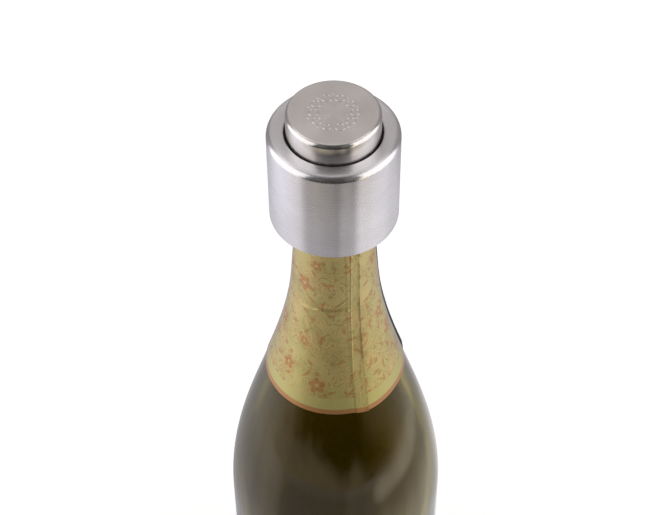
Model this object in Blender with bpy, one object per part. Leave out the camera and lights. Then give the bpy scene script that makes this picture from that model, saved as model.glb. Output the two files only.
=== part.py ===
"""A sparkling-wine bottle with its neck foil, closed by a push-button stopper.

Metres, +Z up. The origin is the middle of the base, where the bottle stands.
The bottle and its foil are drawn from the base, and every piece of the stopper from
the plane of the bottle's mouth. What the shell hides is worked out from it inwards.
Angles round the axis start at the front (-Y) and run towards +X. Nearly every piece is
a turned outline of (radius, height) points.

How the stopper works: it is set on the bottle with its three jaws open. Pressing the
button drives the cone on its core down between the jaws' noses, so that the hooks at
their lower ends swing in under the bottle's ring. The spring lifts the button again.
"""
import math

import bmesh
import bpy
from mathutils import Matrix, Vector

# Stopper from its shell inwards to the bottle's ring, which the shell hides
SHELL_RADIUS = 0.0232
SHELL_WALL = 0.0012
SEAT_GAP = 0.0003
DRUM_THICKNESS = 0.0047
COLLAR_GAP = 0.0010
INNER_RADIUS = SHELL_RADIUS - SHELL_WALL - SEAT_GAP
COLLAR_RADIUS = INNER_RADIUS - DRUM_THICKNESS

# Finish, the moulded end of the neck, downwards from the mouth
RING_RADIUS = COLLAR_RADIUS - COLLAR_GAP
RING_HEIGHT = 0.007
RING_BEVEL = 0.0010
LIP_INSET = 0.0017
LIP_RADIUS = RING_RADIUS - LIP_INSET
LIP_HEIGHT = 0.007
LIP_WALL = 0.0053
LIP_ROUND = 0.0022
LIP_BEVEL = 0.0008
RECESS_INSET = 0.0010
RECESS_RADIUS = LIP_RADIUS - RECESS_INSET
RECESS_HEIGHT = 0.0025
BORE_RADIUS = LIP_RADIUS - LIP_WALL
MOUTH_BEVEL = 0.0006
RING_DEPTH = LIP_HEIGHT + RECESS_HEIGHT + RING_HEIGHT

# Bottle
BOTTLE_HEIGHT = 0.300
RING_UNDERSIDE = BOTTLE_HEIGHT - RING_DEPTH
BODY_RADIUS = 0.04425
NECK_LENGTH = 0.0380
NECK_FOOT = RING_UNDERSIDE - NECK_LENGTH
SHOULDER_RISE = 0.1371
BODY_TOP = NECK_FOOT - SHOULDER_RISE
NECK_FOOT_RADIUS = 0.01565
NECK_TOP_INSET = 0.00027
NECK_TOP_RADIUS = RECESS_RADIUS - NECK_TOP_INSET
SHOULDER_PULL_SHARE = 0.361
SWEEP_PULL_SHARE = 0.356
HEEL_ROUND = 0.007
PUNT_RADIUS = 0.031
PUNT_HEIGHT = 0.032
BODY_WALL = 0.0049
NECK_WALL = 0.0042
PUNT_WALL = 0.0075
FLOOR_ROUND = 0.010

# Neck foil, one sheet lapped at the front
FOIL_LENGTH = 0.0882
FOIL_TOP_DROP = 0.0045
FOIL_TOP = RING_UNDERSIDE - FOIL_TOP_DROP
FOIL_BOTTOM = FOIL_TOP - FOIL_LENGTH
FOIL_FIT = 0.0002
FOIL_THICKNESS = 0.0002
LAP_WIDTH = 0.0042
LAP_RISE = 0.0006
LAP_STEP = 0.00015
LAP_EDGE_BOTTOM = math.radians(27.5)
LAP_EDGE_TOP = math.radians(38.0)

# Lifted outer end of a second turn of the foil, at the right of the neck
FLAP_SEAT = math.radians(72.0)
FLAP_EDGE = math.radians(104.0)
FLAP_FIT = 0.0003
FLAP_LIFT = 0.0009
FLAP_THICKNESS = 0.00035
FLAP_TOP_DROP = 0.0025

# Shell and button, heights from the mouth's plane
RIM_HEIGHT = 0.01733
SHELL_LENGTH = 0.0395
SHELL_ROUND = 0.0019
SHELL_EDGE_ROUND = 0.0004
SHELL_BOTTOM = RIM_HEIGHT - SHELL_LENGTH
RUNNING_GAP = 0.0004
BUTTON_INSET = 0.00055
BUTTON_RADIUS = COLLAR_RADIUS - BUTTON_INSET
HOLE_GAP = 0.00065
HOLE_RADIUS = BUTTON_RADIUS + HOLE_GAP
BUSH_THICKNESS = 0.0012
BUSH_TOP = RIM_HEIGHT - SHELL_WALL - SEAT_GAP
CHASSIS_TOP = BUSH_TOP - BUSH_THICKNESS - SEAT_GAP
BUTTON_PROUD = 0.00867
BUTTON_ROUND = 0.0008
CAP_WALL = 0.0008
CAP_SKIRT_BELOW_RIM = 0.0027
PRESS_TRAVEL = 0.0050
CORE_TOP_THICKNESS = 0.0049
CORE_WALL = 0.0014
HUB_WALL = 0.0007

# Seal stack on the mouth
SEAL_INSET = 0.0017
SEAL_RADIUS = LIP_RADIUS - SEAL_INSET
SEAL_THICKNESS = 0.0020
PLUG_GAP = 0.0007
PLUG_RADIUS = BORE_RADIUS - PLUG_GAP
PLUG_DEPTH = 0.0080
PLUG_BEVEL = 0.0012
RIB_HEIGHT = 0.0003
RIB_WIDTH = 0.0008
RIB_PLACE_SHARES = (0.3, 0.65)
PLATE_THICKNESS = 0.0020
SCREW_RADIUS = 0.0015
SCREW_HEAD_RADIUS = 0.0032
SCREW_HEAD_HEIGHT = 0.0016
SCREW_ENGAGED = 0.0050
HEX_KEY_RADIUS = 0.0014
HEX_KEY_DEPTH = 0.0010

# Jaws and chassis
JAW_COUNT = 3
FIRST_JAW = math.radians(90.0)
JAW_SWING = math.radians(5.7)
JAW_WIDTH = 0.0070
JAW_THICKNESS = 0.0022
PIVOT_DEPTH = 0.0027
PIVOT_RADIUS = INNER_RADIUS - PIVOT_DEPTH
PIVOT_HEIGHT = 0.0030
PIN_RADIUS = 0.0009
PIN_LENGTH = 0.0110
PIN_FIT = 0.00025
BOSS_RADIUS = 0.0021
NOSE_RISE = 0.0050
NOSE_HALF = 0.0006
ARM_RISE = 0.0070
ARM_INNER_INSET = 0.0013
ARM_OUTER_OFFSET = 0.0007
LEG_CLEARANCE = 0.00035
HOOK_GAP = 0.0005
HOOK_DROP = 0.0008
HOOK_HEIGHT = 0.0030
HOOK_BEVEL = 0.0004
CHASSIS_BOTTOM = -0.0100
CHASSIS_FLOOR = 0.0012
CHASSIS_LIFT = 0.0008
DOME_WALL = 0.0009
DOME_THICKNESS = 0.0015
POST_RADIUS = 0.0032
POST_HEIGHT = 0.0064
BASE_RING_LIP = 0.0013
BASE_RING_SKIN = 0.00075

# Small inner rings and the spring
RETURN_RING_WIRE = 0.00065
RETURN_RING_RISE = 0.0025
RETURN_GROOVE_HALF = 0.0010
CLIP_WIRE = 0.0003
CLIP_FIT = 0.0002
CLIP_DROP = 0.0012
CLIP_OPENING = math.radians(50.0)
SPRING_WIRE = 0.0005
SPRING_TURNS = 5
SPRING_GAP = 0.0004

# Facets
BOTTLE_SIDES = 40
SHOWN_SIDES = 48
FLAP_COLUMNS = 8
INNER_SIDES = 32
SMALL_SIDES = 16
SHOULDER_STEPS = 12
INSIDE_STEPS = 8
ROUND_STEPS = 3
PUNT_STEPS = 5
SPRING_STEPS = 10
SHARP_ANGLE = math.radians(32.0)
MERGE = 0.000001
OVERRUN = 0.0010

# Worked out from the sizes above
MOUTH = BOTTLE_HEIGHT
BUTTON_TOP = RIM_HEIGHT + BUTTON_PROUD
CAP_BOTTOM = RIM_HEIGHT - CAP_SKIRT_BELOW_RIM
CORE_TOP = BUTTON_TOP - CAP_WALL - SEAT_GAP
CORE_RADIUS = BUTTON_RADIUS - CAP_WALL - SEAT_GAP
CORE_CEILING = CORE_TOP - CORE_TOP_THICKNESS
HOOK_TIP_RADIUS = RING_RADIUS + HOOK_GAP
HOOK_TOP = -RING_DEPTH - HOOK_DROP
HOOK_BOTTOM = HOOK_TOP - HOOK_HEIGHT
LEG_OUTER_RADIUS = INNER_RADIUS - BASE_RING_SKIN - LEG_CLEARANCE
LEG_INNER_RADIUS = LEG_OUTER_RADIUS - JAW_THICKNESS
BASE_RING_LOW = HOOK_BOTTOM - SEAT_GAP - BASE_RING_LIP
SLOT_WIDTH = JAW_WIDTH + 2 * RUNNING_GAP
SLOT_INNER_RADIUS = PIVOT_RADIUS - BOSS_RADIUS - HOOK_GAP
DOME_INNER_RADIUS = SEAL_RADIUS + SEAT_GAP
DOME_RADIUS = DOME_INNER_RADIUS + DOME_WALL
PLATE_BOTTOM = SEAT_GAP + SEAL_THICKNESS + SEAT_GAP
PLATE_TOP = PLATE_BOTTOM + PLATE_THICKNESS
DOME_CEILING = PLATE_TOP + SEAT_GAP
DOME_TOP = DOME_CEILING + DOME_THICKNESS
FLOOR_TOP = CHASSIS_LIFT + CHASSIS_FLOOR
POST_TOP = DOME_TOP + POST_HEIGHT
SCREW_HOLE_RADIUS = SCREW_RADIUS + SEAT_GAP
SCREW_TOP = DOME_CEILING + SCREW_ENGAGED
HUB_BORE = POST_RADIUS + RUNNING_GAP
HUB_RADIUS = HUB_BORE + HUB_WALL
CLIP_HEIGHT = POST_TOP - CLIP_DROP
CLIP_MIDDLE = HUB_BORE - CLIP_FIT - CLIP_WIRE
CLIP_GROOVE_RADIUS = CLIP_MIDDLE - CLIP_WIRE - CLIP_FIT
CLIP_GROOVE_HALF = CLIP_WIRE + CLIP_FIT
HUB_BOTTOM = DOME_TOP + PRESS_TRAVEL + RUNNING_GAP
CAM_BOTTOM = FLOOR_TOP + PRESS_TRAVEL + RUNNING_GAP
CAM_INNER_RADIUS = DOME_RADIUS + RUNNING_GAP
CAM_SLOPE = NOSE_RISE * math.tan(JAW_SWING) / PRESS_TRAVEL
NOSE_HEIGHT = PIVOT_HEIGHT + NOSE_RISE
CAM_TOP = CAP_BOTTOM - SEAT_GAP
CAM_TOP_RADIUS = BUTTON_RADIUS - SEAT_GAP / 2
CAM_BOTTOM_RADIUS = CAM_TOP_RADIUS - CAM_SLOPE * (CAM_TOP - CAM_BOTTOM)
NOSE_RADIUS = CAM_BOTTOM_RADIUS + CAM_SLOPE * (NOSE_HEIGHT - CAM_BOTTOM) + SEAT_GAP


def clear_scene():
    """Remove everything that the file opened with."""
    for old in list(bpy.data.objects):
        bpy.data.objects.remove(old, do_unlink=True)


def finish(name, colour, roughness, metallic=0.0, transmission=0.0):
    """A plain Principled material in the piece's own colour."""
    material = bpy.data.materials.new(name)
    material.use_nodes = True
    shader = material.node_tree.nodes["Principled BSDF"]
    shader.inputs["Base Color"].default_value = (*colour, 1.0)
    shader.inputs["Roughness"].default_value = roughness
    shader.inputs["Metallic"].default_value = metallic
    shader.inputs["Transmission Weight"].default_value = transmission
    return material


def empty(name, height=0.0, parent=None):
    """A frame of reference on the bottle's axis."""
    frame = bpy.data.objects.new(name, None)
    frame.location = (0.0, 0.0, height)
    frame.parent = parent
    bpy.context.scene.collection.objects.link(frame)
    return frame


def place(name, mesh, material, parent):
    """Link a mesh as a named piece, smooth except at its real edges."""
    piece = bpy.data.objects.new(name, mesh)
    piece.parent = parent
    if material is not None:
        mesh.materials.append(material)
        mesh.shade_smooth()
        mesh.set_sharp_from_angle(angle=SHARP_ANGLE)
    bpy.context.scene.collection.objects.link(piece)
    return piece


def arc(centre, radius, start, end, steps=ROUND_STEPS):
    """Points along an arc, from one angle to another in degrees."""
    points = []
    for step in range(steps + 1):
        angle = math.radians(start + (end - start) * step / steps)
        points.append((centre[0] + radius * math.cos(angle), centre[1] + radius * math.sin(angle)))
    return points


def bezier(start, start_pull, end_pull, end, steps):
    """Points along a cubic curve between two ends and their two pulls."""
    points = []
    for step in range(steps + 1):
        t = step / steps
        shares = ((1 - t) ** 3, 3 * t * (1 - t) ** 2, 3 * t * t * (1 - t), t ** 3)
        ends = (start, start_pull, end_pull, end)
        radius = sum(share * point[0] for share, point in zip(shares, ends))
        height = sum(share * point[1] for share, point in zip(shares, ends))
        points.append((radius, height))
    return points


def turned(name, outline, material, parent=None, sides=INNER_SIDES):
    """Turn an outline of (radius, height) round the axis into one closed body."""
    mesh = bpy.data.meshes.new(name)
    turning = bmesh.new()
    corners = [turning.verts.new((radius, 0.0, height)) for radius, height in outline]
    edges = [turning.edges.new(pair) for pair in zip(corners, corners[1:])]
    on_axis = outline[0][0] == 0.0 and outline[-1][0] == 0.0
    if not on_axis:
        edges.append(turning.edges.new((corners[-1], corners[0])))
    bmesh.ops.spin(turning, geom=corners + edges, cent=(0.0, 0.0, 0.0), axis=(0.0, 0.0, 1.0),
                   angle=math.tau, steps=sides, use_merge=True)
    bmesh.ops.remove_doubles(turning, verts=turning.verts, dist=MERGE)
    bmesh.ops.recalc_face_normals(turning, faces=turning.faces)
    turning.to_mesh(mesh)
    turning.free()
    return place(name, mesh, material, parent)


def extruded(name, outline, width, material, parent=None):
    """Extrude an outline of (across, up) points along Y, half the width to each side."""
    mesh = bpy.data.meshes.new(name)
    form = bmesh.new()
    corners = [form.verts.new((across, -width / 2, up)) for across, up in outline]
    face = form.faces.new(corners)
    grown = bmesh.ops.extrude_face_region(form, geom=[face])
    moved = [item for item in grown["geom"] if isinstance(item, bmesh.types.BMVert)]
    bmesh.ops.translate(form, verts=moved, vec=(0.0, width, 0.0))
    bmesh.ops.recalc_face_normals(form, faces=form.faces)
    form.to_mesh(mesh)
    form.free()
    return place(name, mesh, material, parent)


def rods(name, radius, length, frames, material=None, parent=None):
    """Round bars along Y, one at each frame, as one mesh."""
    mesh = bpy.data.meshes.new(name)
    form = bmesh.new()
    for frame in frames:
        turn = frame @ Matrix.Rotation(math.radians(90.0), 4, "X")
        bmesh.ops.create_cone(form, cap_ends=True, segments=SMALL_SIDES, radius1=radius,
                              radius2=radius, depth=length, matrix=turn)
    form.to_mesh(mesh)
    form.free()
    return place(name, mesh, material, parent)


def blocks(name, inner, outer, width, low, high, frames, parent=None):
    """Slot cutters that reach from an inner to an outer radius, one at each frame."""
    mesh = bpy.data.meshes.new(name)
    form = bmesh.new()
    size = Matrix.Diagonal((outer - inner, width, high - low, 1.0))
    middle = Matrix.Translation(((inner + outer) / 2, 0.0, (low + high) / 2))
    for frame in frames:
        bmesh.ops.create_cube(form, size=1.0, matrix=frame @ middle @ size)
    form.to_mesh(mesh)
    form.free()
    return place(name, mesh, None, parent)


def cut(piece, cutter):
    """Cut a piece with a cutter that is shown as wires and never rendered."""
    cutter.hide_render = True
    cutter.display_type = "WIRE"
    modifier = piece.modifiers.new(cutter.name, "BOOLEAN")
    modifier.operation = "DIFFERENCE"
    modifier.object = cutter


def tube(name, points, radius, material, parent, resolution=1):
    """A round wire through the points, with its ends filled."""
    curve = bpy.data.curves.new(name, "CURVE")
    curve.dimensions = "3D"
    curve.bevel_depth = radius
    curve.bevel_resolution = resolution
    curve.use_fill_caps = True
    spline = curve.splines.new("POLY")
    spline.points.add(len(points) - 1)
    for point, place_of in zip(spline.points, points):
        point.co = (*place_of, 1.0)
        point.radius = 1.0
    spline.use_smooth = True
    curve.materials.append(material)
    piece = bpy.data.objects.new(name, curve)
    piece.parent = parent
    bpy.context.scene.collection.objects.link(piece)
    return piece


def sheet(name, outer, inner, material, parent, closed_round):
    """A thin skin between two grids of points, each a list of rows from bottom to top."""
    mesh = bpy.data.meshes.new(name)
    form = bmesh.new()
    outside = [[form.verts.new(point) for point in row] for row in outer]
    inside = [[form.verts.new(point) for point in row] for row in inner]
    columns = len(outer[0])
    rows = len(outer)
    spans = columns if closed_round else columns - 1

    def face(first, second, third, fourth):
        form.faces.new((first, second, third, fourth))

    for here in range(spans):
        after = (here + 1) % columns
        for low in range(rows - 1):
            high = low + 1
            face(outside[low][here], outside[low][after], outside[high][after], outside[high][here])
            face(inside[low][here], inside[high][here], inside[high][after], inside[low][after])
        face(inside[0][here], inside[0][after], outside[0][after], outside[0][here])
        face(outside[-1][here], outside[-1][after], inside[-1][after], inside[-1][here])
    if not closed_round:
        for side in (0, columns - 1):
            for low in range(rows - 1):
                high = low + 1
                face(inside[low][side], outside[low][side], outside[high][side], inside[high][side])
    bmesh.ops.recalc_face_normals(form, faces=form.faces)
    form.to_mesh(mesh)
    form.free()
    return place(name, mesh, material, parent)


def around(angle, radius, height):
    """A point at an angle from the front, towards +X, at a radius and a height."""
    return Vector((radius * math.sin(angle), -radius * math.cos(angle), height))


def jaw_turns():
    """The angle of each jaw round the axis, from +X."""
    return [FIRST_JAW + math.tau * number / JAW_COUNT for number in range(JAW_COUNT)]


def jaw_frames():
    """The turn that carries +X to each jaw."""
    return [Matrix.Rotation(turn, 4, "Z") for turn in jaw_turns()]


def pivot_frames():
    """The frame of each jaw's hinge, out at its pin."""
    out = Matrix.Translation((PIVOT_RADIUS, 0.0, PIVOT_HEIGHT))
    return [frame @ out for frame in jaw_frames()]


# Bottle

def body_side():
    """The bottle's outside from the top of its straight body to the ring, going up."""
    rise = NECK_FOOT - BODY_TOP
    taper = (NECK_FOOT_RADIUS - NECK_TOP_RADIUS) / (RING_UNDERSIDE - NECK_FOOT)
    sweep = SWEEP_PULL_SHARE * rise
    shoulder_pull = (BODY_RADIUS, BODY_TOP + SHOULDER_PULL_SHARE * rise)
    sweep_pull = (NECK_FOOT_RADIUS + taper * sweep, NECK_FOOT - sweep)
    side = bezier((BODY_RADIUS, BODY_TOP), shoulder_pull, sweep_pull,
                  (NECK_FOOT_RADIUS, NECK_FOOT), SHOULDER_STEPS)
    side.append((NECK_TOP_RADIUS, RING_UNDERSIDE))
    return side


def radius_at(height):
    """The outside radius of the shoulder or neck at a height."""
    side = body_side()
    for (low_radius, low), (high_radius, high) in zip(side, side[1:]):
        if low <= height <= high:
            share = (height - low) / (high - low)
            return low_radius + share * (high_radius - low_radius)
    return BODY_RADIUS if height < BODY_TOP else NECK_TOP_RADIUS


def base_outline():
    """The punt, the ring that the bottle stands on and the heel, going out and up."""
    points = []
    for step in range(PUNT_STEPS + 1):
        share = step / PUNT_STEPS
        points.append((PUNT_RADIUS * share, PUNT_HEIGHT * math.cos(math.radians(90.0) * share)))
    points[-1] = (PUNT_RADIUS, 0.0)
    points += arc((BODY_RADIUS - HEEL_ROUND, HEEL_ROUND), HEEL_ROUND, -90.0, 0.0)
    return points


def finish_outline():
    """The ring, the recess and the lip, going up to the bore."""
    ring_top = RING_UNDERSIDE + RING_HEIGHT
    lip_bottom = ring_top + RECESS_HEIGHT
    points = [
        (RING_RADIUS - RING_BEVEL, RING_UNDERSIDE),
        (RING_RADIUS, RING_UNDERSIDE + RING_BEVEL),
        (RING_RADIUS, ring_top - RING_BEVEL),
        (RING_RADIUS - RING_BEVEL, ring_top),
        (RECESS_RADIUS, ring_top),
        (RECESS_RADIUS, lip_bottom),
        (LIP_RADIUS - LIP_BEVEL, lip_bottom),
        (LIP_RADIUS, lip_bottom + LIP_BEVEL),
    ]
    points += arc((LIP_RADIUS - LIP_ROUND, MOUTH - LIP_ROUND), LIP_ROUND, 0.0, 90.0)
    points.append((BORE_RADIUS + MOUTH_BEVEL, MOUTH))
    points.append((BORE_RADIUS, MOUTH - MOUTH_BEVEL))
    return points


def inside_outline():
    """The bore and the inside of the neck, shoulder, body and floor, going down."""
    rise = NECK_FOOT - BODY_TOP
    inner_body = BODY_RADIUS - BODY_WALL
    inner_foot = NECK_FOOT_RADIUS - NECK_WALL
    points = [(BORE_RADIUS, RING_UNDERSIDE)]
    points += bezier((inner_foot, NECK_FOOT), (inner_foot, NECK_FOOT - SWEEP_PULL_SHARE * rise),
                     (inner_body, BODY_TOP + SHOULDER_PULL_SHARE * rise), (inner_body, BODY_TOP),
                     INSIDE_STEPS)
    points += arc((inner_body - FLOOR_ROUND, PUNT_WALL + FLOOR_ROUND), FLOOR_ROUND, 0.0, -90.0)
    reach = inner_body - FLOOR_ROUND
    for step in range(PUNT_STEPS - 1, -1, -1):
        share = step / PUNT_STEPS
        points.append((reach * share, PUNT_WALL + PUNT_HEIGHT * math.cos(math.radians(90.0) * share)))
    return points


def make_bottle(glass):
    outline = base_outline() + body_side() + finish_outline() + inside_outline()
    outline[0] = (0.0, PUNT_HEIGHT)
    outline[-1] = (0.0, PUNT_HEIGHT + PUNT_WALL)
    return turned("bottle", outline, glass, sides=BOTTLE_SIDES)


# Neck foil

def foil_heights():
    """The foil's rows: its two edges and the bottle's own corners between them."""
    between = [height for _, height in body_side() if FOIL_BOTTOM < height < FOIL_TOP]
    return [FOIL_BOTTOM] + between + [FOIL_TOP]


def lap_edge(height):
    """The angle of the lapped sheet's outer edge, which leans as a wrapped cone's does."""
    share = (height - FOIL_BOTTOM) / (FOIL_TOP - FOIL_BOTTOM)
    return LAP_EDGE_BOTTOM + share * (LAP_EDGE_TOP - LAP_EDGE_BOTTOM)


def foil_row(height, outside):
    """One row of the foil, from the lap's far side back round to its outer edge."""
    radius = radius_at(height) + FOIL_FIT
    edge = lap_edge(height)
    lap = (LAP_WIDTH / radius, FOIL_THICKNESS)
    rise = LAP_RISE / radius
    stations = [(edge + LAP_STEP / radius, 0.0)]
    free_turn = math.tau - lap[0] - rise - LAP_STEP / radius
    for number in range(1, SHOWN_SIDES):
        stations.append((edge + LAP_STEP / radius + free_turn * number / SHOWN_SIDES, 0.0))
    stations.append((edge - lap[0] - rise, 0.0))
    stations.append((edge - lap[0], lap[1]))
    stations.append((edge - lap[0] / 2, lap[1]))
    stations.append((edge, lap[1]))
    row = []
    for angle, step in stations:
        skin = FOIL_THICKNESS + step if outside else 0.0
        row.append(around(angle, radius + skin, height))
    return row


def make_foil(gold):
    heights = foil_heights()
    outer = [foil_row(height, True) for height in heights]
    inner = [foil_row(height, False) for height in heights]
    return sheet("neck_foil", outer, inner, gold, None, True)


def make_flap(gold):
    """The lifted end of the foil, seated at one side and sprung off at the other."""
    heights = foil_heights()
    heights[-1] -= FLAP_TOP_DROP
    outer = []
    inner = []
    for height in heights:
        seat = radius_at(height) + FOIL_FIT + FOIL_THICKNESS + FLAP_FIT
        row_out = []
        row_in = []
        for column in range(FLAP_COLUMNS + 1):
            share = column / FLAP_COLUMNS
            angle = FLAP_SEAT + share * (FLAP_EDGE - FLAP_SEAT)
            lift = FLAP_LIFT * share ** 2
            row_out.append(around(angle, seat + lift + FLAP_THICKNESS, height))
            row_in.append(around(angle, seat + lift, height))
        outer.append(row_out)
        inner.append(row_in)
    return sheet("foil_flap", outer, inner, gold, None, False)


# Stopper

def make_shell(steel, stopper):
    inner = SHELL_RADIUS - SHELL_WALL
    under_rim = RIM_HEIGHT - SHELL_WALL
    inner_round = SHELL_ROUND - SHELL_WALL
    outline = [(HOLE_RADIUS, under_rim), (HOLE_RADIUS, RIM_HEIGHT)]
    outline += arc((SHELL_RADIUS - SHELL_ROUND, RIM_HEIGHT - SHELL_ROUND), SHELL_ROUND, 90.0, 0.0, 5)
    outline += arc((SHELL_RADIUS - SHELL_EDGE_ROUND, SHELL_BOTTOM + SHELL_EDGE_ROUND),
                   SHELL_EDGE_ROUND, 0.0, -90.0, 2)
    outline.append((inner, SHELL_BOTTOM))
    outline += arc((inner - inner_round, under_rim - inner_round), inner_round, 0.0, 90.0, 2)
    return turned("outer_shell", outline, steel, stopper, SHOWN_SIDES)


def make_bush(plastic, stopper):
    """The black liner that the button slides in, seen as the dark gap round it."""
    bore = BUTTON_RADIUS + RUNNING_GAP
    rim = INNER_RADIUS - SHELL_ROUND + SHELL_WALL
    low = BUSH_TOP - BUSH_THICKNESS
    outline = [(bore, low), (bore, BUSH_TOP), (rim, BUSH_TOP), (INNER_RADIUS, low)]
    return turned("guide_bush", outline, plastic, stopper)


def make_chassis(plastic, stopper):
    """The moulded body: a slotted drum, a floor over the mouth and a post for the spring."""
    groove_high = PIVOT_HEIGHT + RETURN_RING_RISE + RETURN_GROOVE_HALF
    groove_low = PIVOT_HEIGHT + RETURN_RING_RISE - RETURN_GROOVE_HALF
    groove_radius = INNER_RADIUS - 2 * RETURN_RING_WIRE - RUNNING_GAP
    outline = [
        (0.0, POST_TOP),
        (POST_RADIUS, POST_TOP),
        (POST_RADIUS, CLIP_HEIGHT + CLIP_GROOVE_HALF),
        (CLIP_GROOVE_RADIUS, CLIP_HEIGHT + CLIP_GROOVE_HALF),
        (CLIP_GROOVE_RADIUS, CLIP_HEIGHT - CLIP_GROOVE_HALF),
        (POST_RADIUS, CLIP_HEIGHT - CLIP_GROOVE_HALF),
        (POST_RADIUS, DOME_TOP),
        (DOME_RADIUS, DOME_TOP),
        (DOME_RADIUS, FLOOR_TOP),
        (COLLAR_RADIUS, FLOOR_TOP),
        (COLLAR_RADIUS, CHASSIS_TOP),
        (INNER_RADIUS, CHASSIS_TOP),
        (INNER_RADIUS, groove_high),
        (groove_radius, groove_high),
        (groove_radius, groove_low),
        (INNER_RADIUS, groove_low),
        (INNER_RADIUS, CHASSIS_BOTTOM),
        (COLLAR_RADIUS, CHASSIS_BOTTOM),
        (COLLAR_RADIUS, CHASSIS_LIFT),
        (DOME_INNER_RADIUS, CHASSIS_LIFT),
        (DOME_INNER_RADIUS, DOME_CEILING),
        (SCREW_HOLE_RADIUS, DOME_CEILING),
        (SCREW_HOLE_RADIUS, SCREW_TOP + SEAT_GAP),
        (0.0, SCREW_TOP + SEAT_GAP),
    ]
    chassis = turned("chassis", outline, plastic, stopper)
    arm_top = PIVOT_HEIGHT + ARM_RISE + RUNNING_GAP * 2
    slots = blocks("chassis_slots", SLOT_INNER_RADIUS, INNER_RADIUS + OVERRUN, SLOT_WIDTH,
                   CHASSIS_BOTTOM - OVERRUN, arm_top, jaw_frames(), stopper)
    cut(chassis, slots)
    pockets = rods("pin_pockets", PIN_RADIUS + PIN_FIT, PIN_LENGTH + 2 * SEAT_GAP,
                   pivot_frames(), None, stopper)
    cut(chassis, pockets)
    return chassis


def make_base_ring(plastic, stopper):
    """The slotted collar pressed into the shell's open end, under the chassis."""
    low = BASE_RING_LOW
    high = CHASSIS_BOTTOM - SEAT_GAP
    outline = [(COLLAR_RADIUS, low), (COLLAR_RADIUS, high), (INNER_RADIUS, high), (INNER_RADIUS, low)]
    ring = turned("base_ring", outline, plastic, stopper)
    slots = blocks("base_ring_slots", COLLAR_RADIUS - OVERRUN * 2, INNER_RADIUS - BASE_RING_SKIN,
                   SLOT_WIDTH, low + BASE_RING_LIP, high + OVERRUN, jaw_frames(), stopper)
    cut(ring, slots)
    return ring


def make_seal(silicone, stopper):
    """The soft disc on the lip, with a ribbed plug in the bore."""
    low = -PLUG_DEPTH
    top = SEAT_GAP + SEAL_THICKNESS
    outline = [(SCREW_HOLE_RADIUS, top), (SCREW_HOLE_RADIUS, low), (PLUG_RADIUS - PLUG_BEVEL, low)]
    for share in RIB_PLACE_SHARES:
        rib = low + PLUG_DEPTH * share
        outline.append((PLUG_RADIUS, rib - RIB_WIDTH))
        outline.append((PLUG_RADIUS + RIB_HEIGHT, rib))
        outline.append((PLUG_RADIUS, rib + RIB_WIDTH))
    outline += [(PLUG_RADIUS, SEAT_GAP), (SEAL_RADIUS, SEAT_GAP), (SEAL_RADIUS, top)]
    return turned("mouth_seal", outline, silicone, stopper, INNER_SIDES)


def make_plate(steel, stopper):
    """The pressure plate between the seal and the chassis."""
    outline = [(SCREW_HOLE_RADIUS, PLATE_BOTTOM), (SCREW_HOLE_RADIUS, PLATE_TOP),
               (SEAL_RADIUS, PLATE_TOP), (SEAL_RADIUS, PLATE_BOTTOM)]
    return turned("seal_plate", outline, steel, stopper)


def make_screw(steel, stopper):
    """The screw up through the seal into the chassis post."""
    head_top = -PLUG_DEPTH - SEAT_GAP
    head_low = head_top - SCREW_HEAD_HEIGHT
    outline = [
        (0.0, head_low + HEX_KEY_DEPTH),
        (HEX_KEY_RADIUS, head_low + HEX_KEY_DEPTH),
        (HEX_KEY_RADIUS, head_low),
        (SCREW_HEAD_RADIUS, head_low),
        (SCREW_HEAD_RADIUS, head_top),
        (SCREW_RADIUS, head_top),
        (SCREW_RADIUS, SCREW_TOP),
        (0.0, SCREW_TOP),
    ]
    return turned("seal_screw", outline, steel, stopper, SMALL_SIDES)


def make_return_ring(rubber, stopper):
    """The rubber ring round the jaws that draws their noses in and so opens the hooks."""
    middle = (INNER_RADIUS - RETURN_RING_WIRE - SEAT_GAP / 3, PIVOT_HEIGHT + RETURN_RING_RISE)
    outline = arc(middle, RETURN_RING_WIRE, 0.0, 300.0, 5)
    return turned("return_ring", outline, rubber, stopper)


def make_clip(steel, stopper):
    """The sprung clip near the top of the post, which the hub's groove snaps over."""
    points = []
    for step in range(SMALL_SIDES + 1):
        angle = CLIP_OPENING / 2 + (math.tau - CLIP_OPENING) * step / SMALL_SIDES
        points.append(around(angle, CLIP_MIDDLE, CLIP_HEIGHT))
    return tube("latch_clip", points, CLIP_WIRE, steel, stopper)


def make_spring(steel, stopper):
    """The spring that lifts the button, coiled round the post and the hub."""
    middle = HUB_RADIUS + SPRING_GAP + SPRING_WIRE
    low = DOME_TOP + SEAT_GAP + SPRING_WIRE
    high = CORE_CEILING - SEAT_GAP - SPRING_WIRE
    count = SPRING_TURNS * SPRING_STEPS
    points = []
    for step in range(count + 1):
        share = step / count
        points.append(around(math.tau * SPRING_TURNS * share, middle, low + share * (high - low)))
    pitch = (high - low) / SPRING_TURNS
    gap = pitch - 2 * SPRING_WIRE
    print(f"return_spring: least gap between turns {gap:.5f} m")
    return tube("return_spring", points, SPRING_WIRE, steel, stopper)


# Button

def make_cap(steel, button):
    inner = BUTTON_RADIUS - CAP_WALL
    under_top = BUTTON_TOP - CAP_WALL
    outline = [(0.0, BUTTON_TOP)]
    outline += arc((BUTTON_RADIUS - BUTTON_ROUND, BUTTON_TOP - BUTTON_ROUND), BUTTON_ROUND, 90.0, 0.0)
    outline += [(BUTTON_RADIUS, CAP_BOTTOM), (inner, CAP_BOTTOM), (inner, under_top), (0.0, under_top)]
    return turned("button_cap", outline, steel, button, SHOWN_SIDES)


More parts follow.
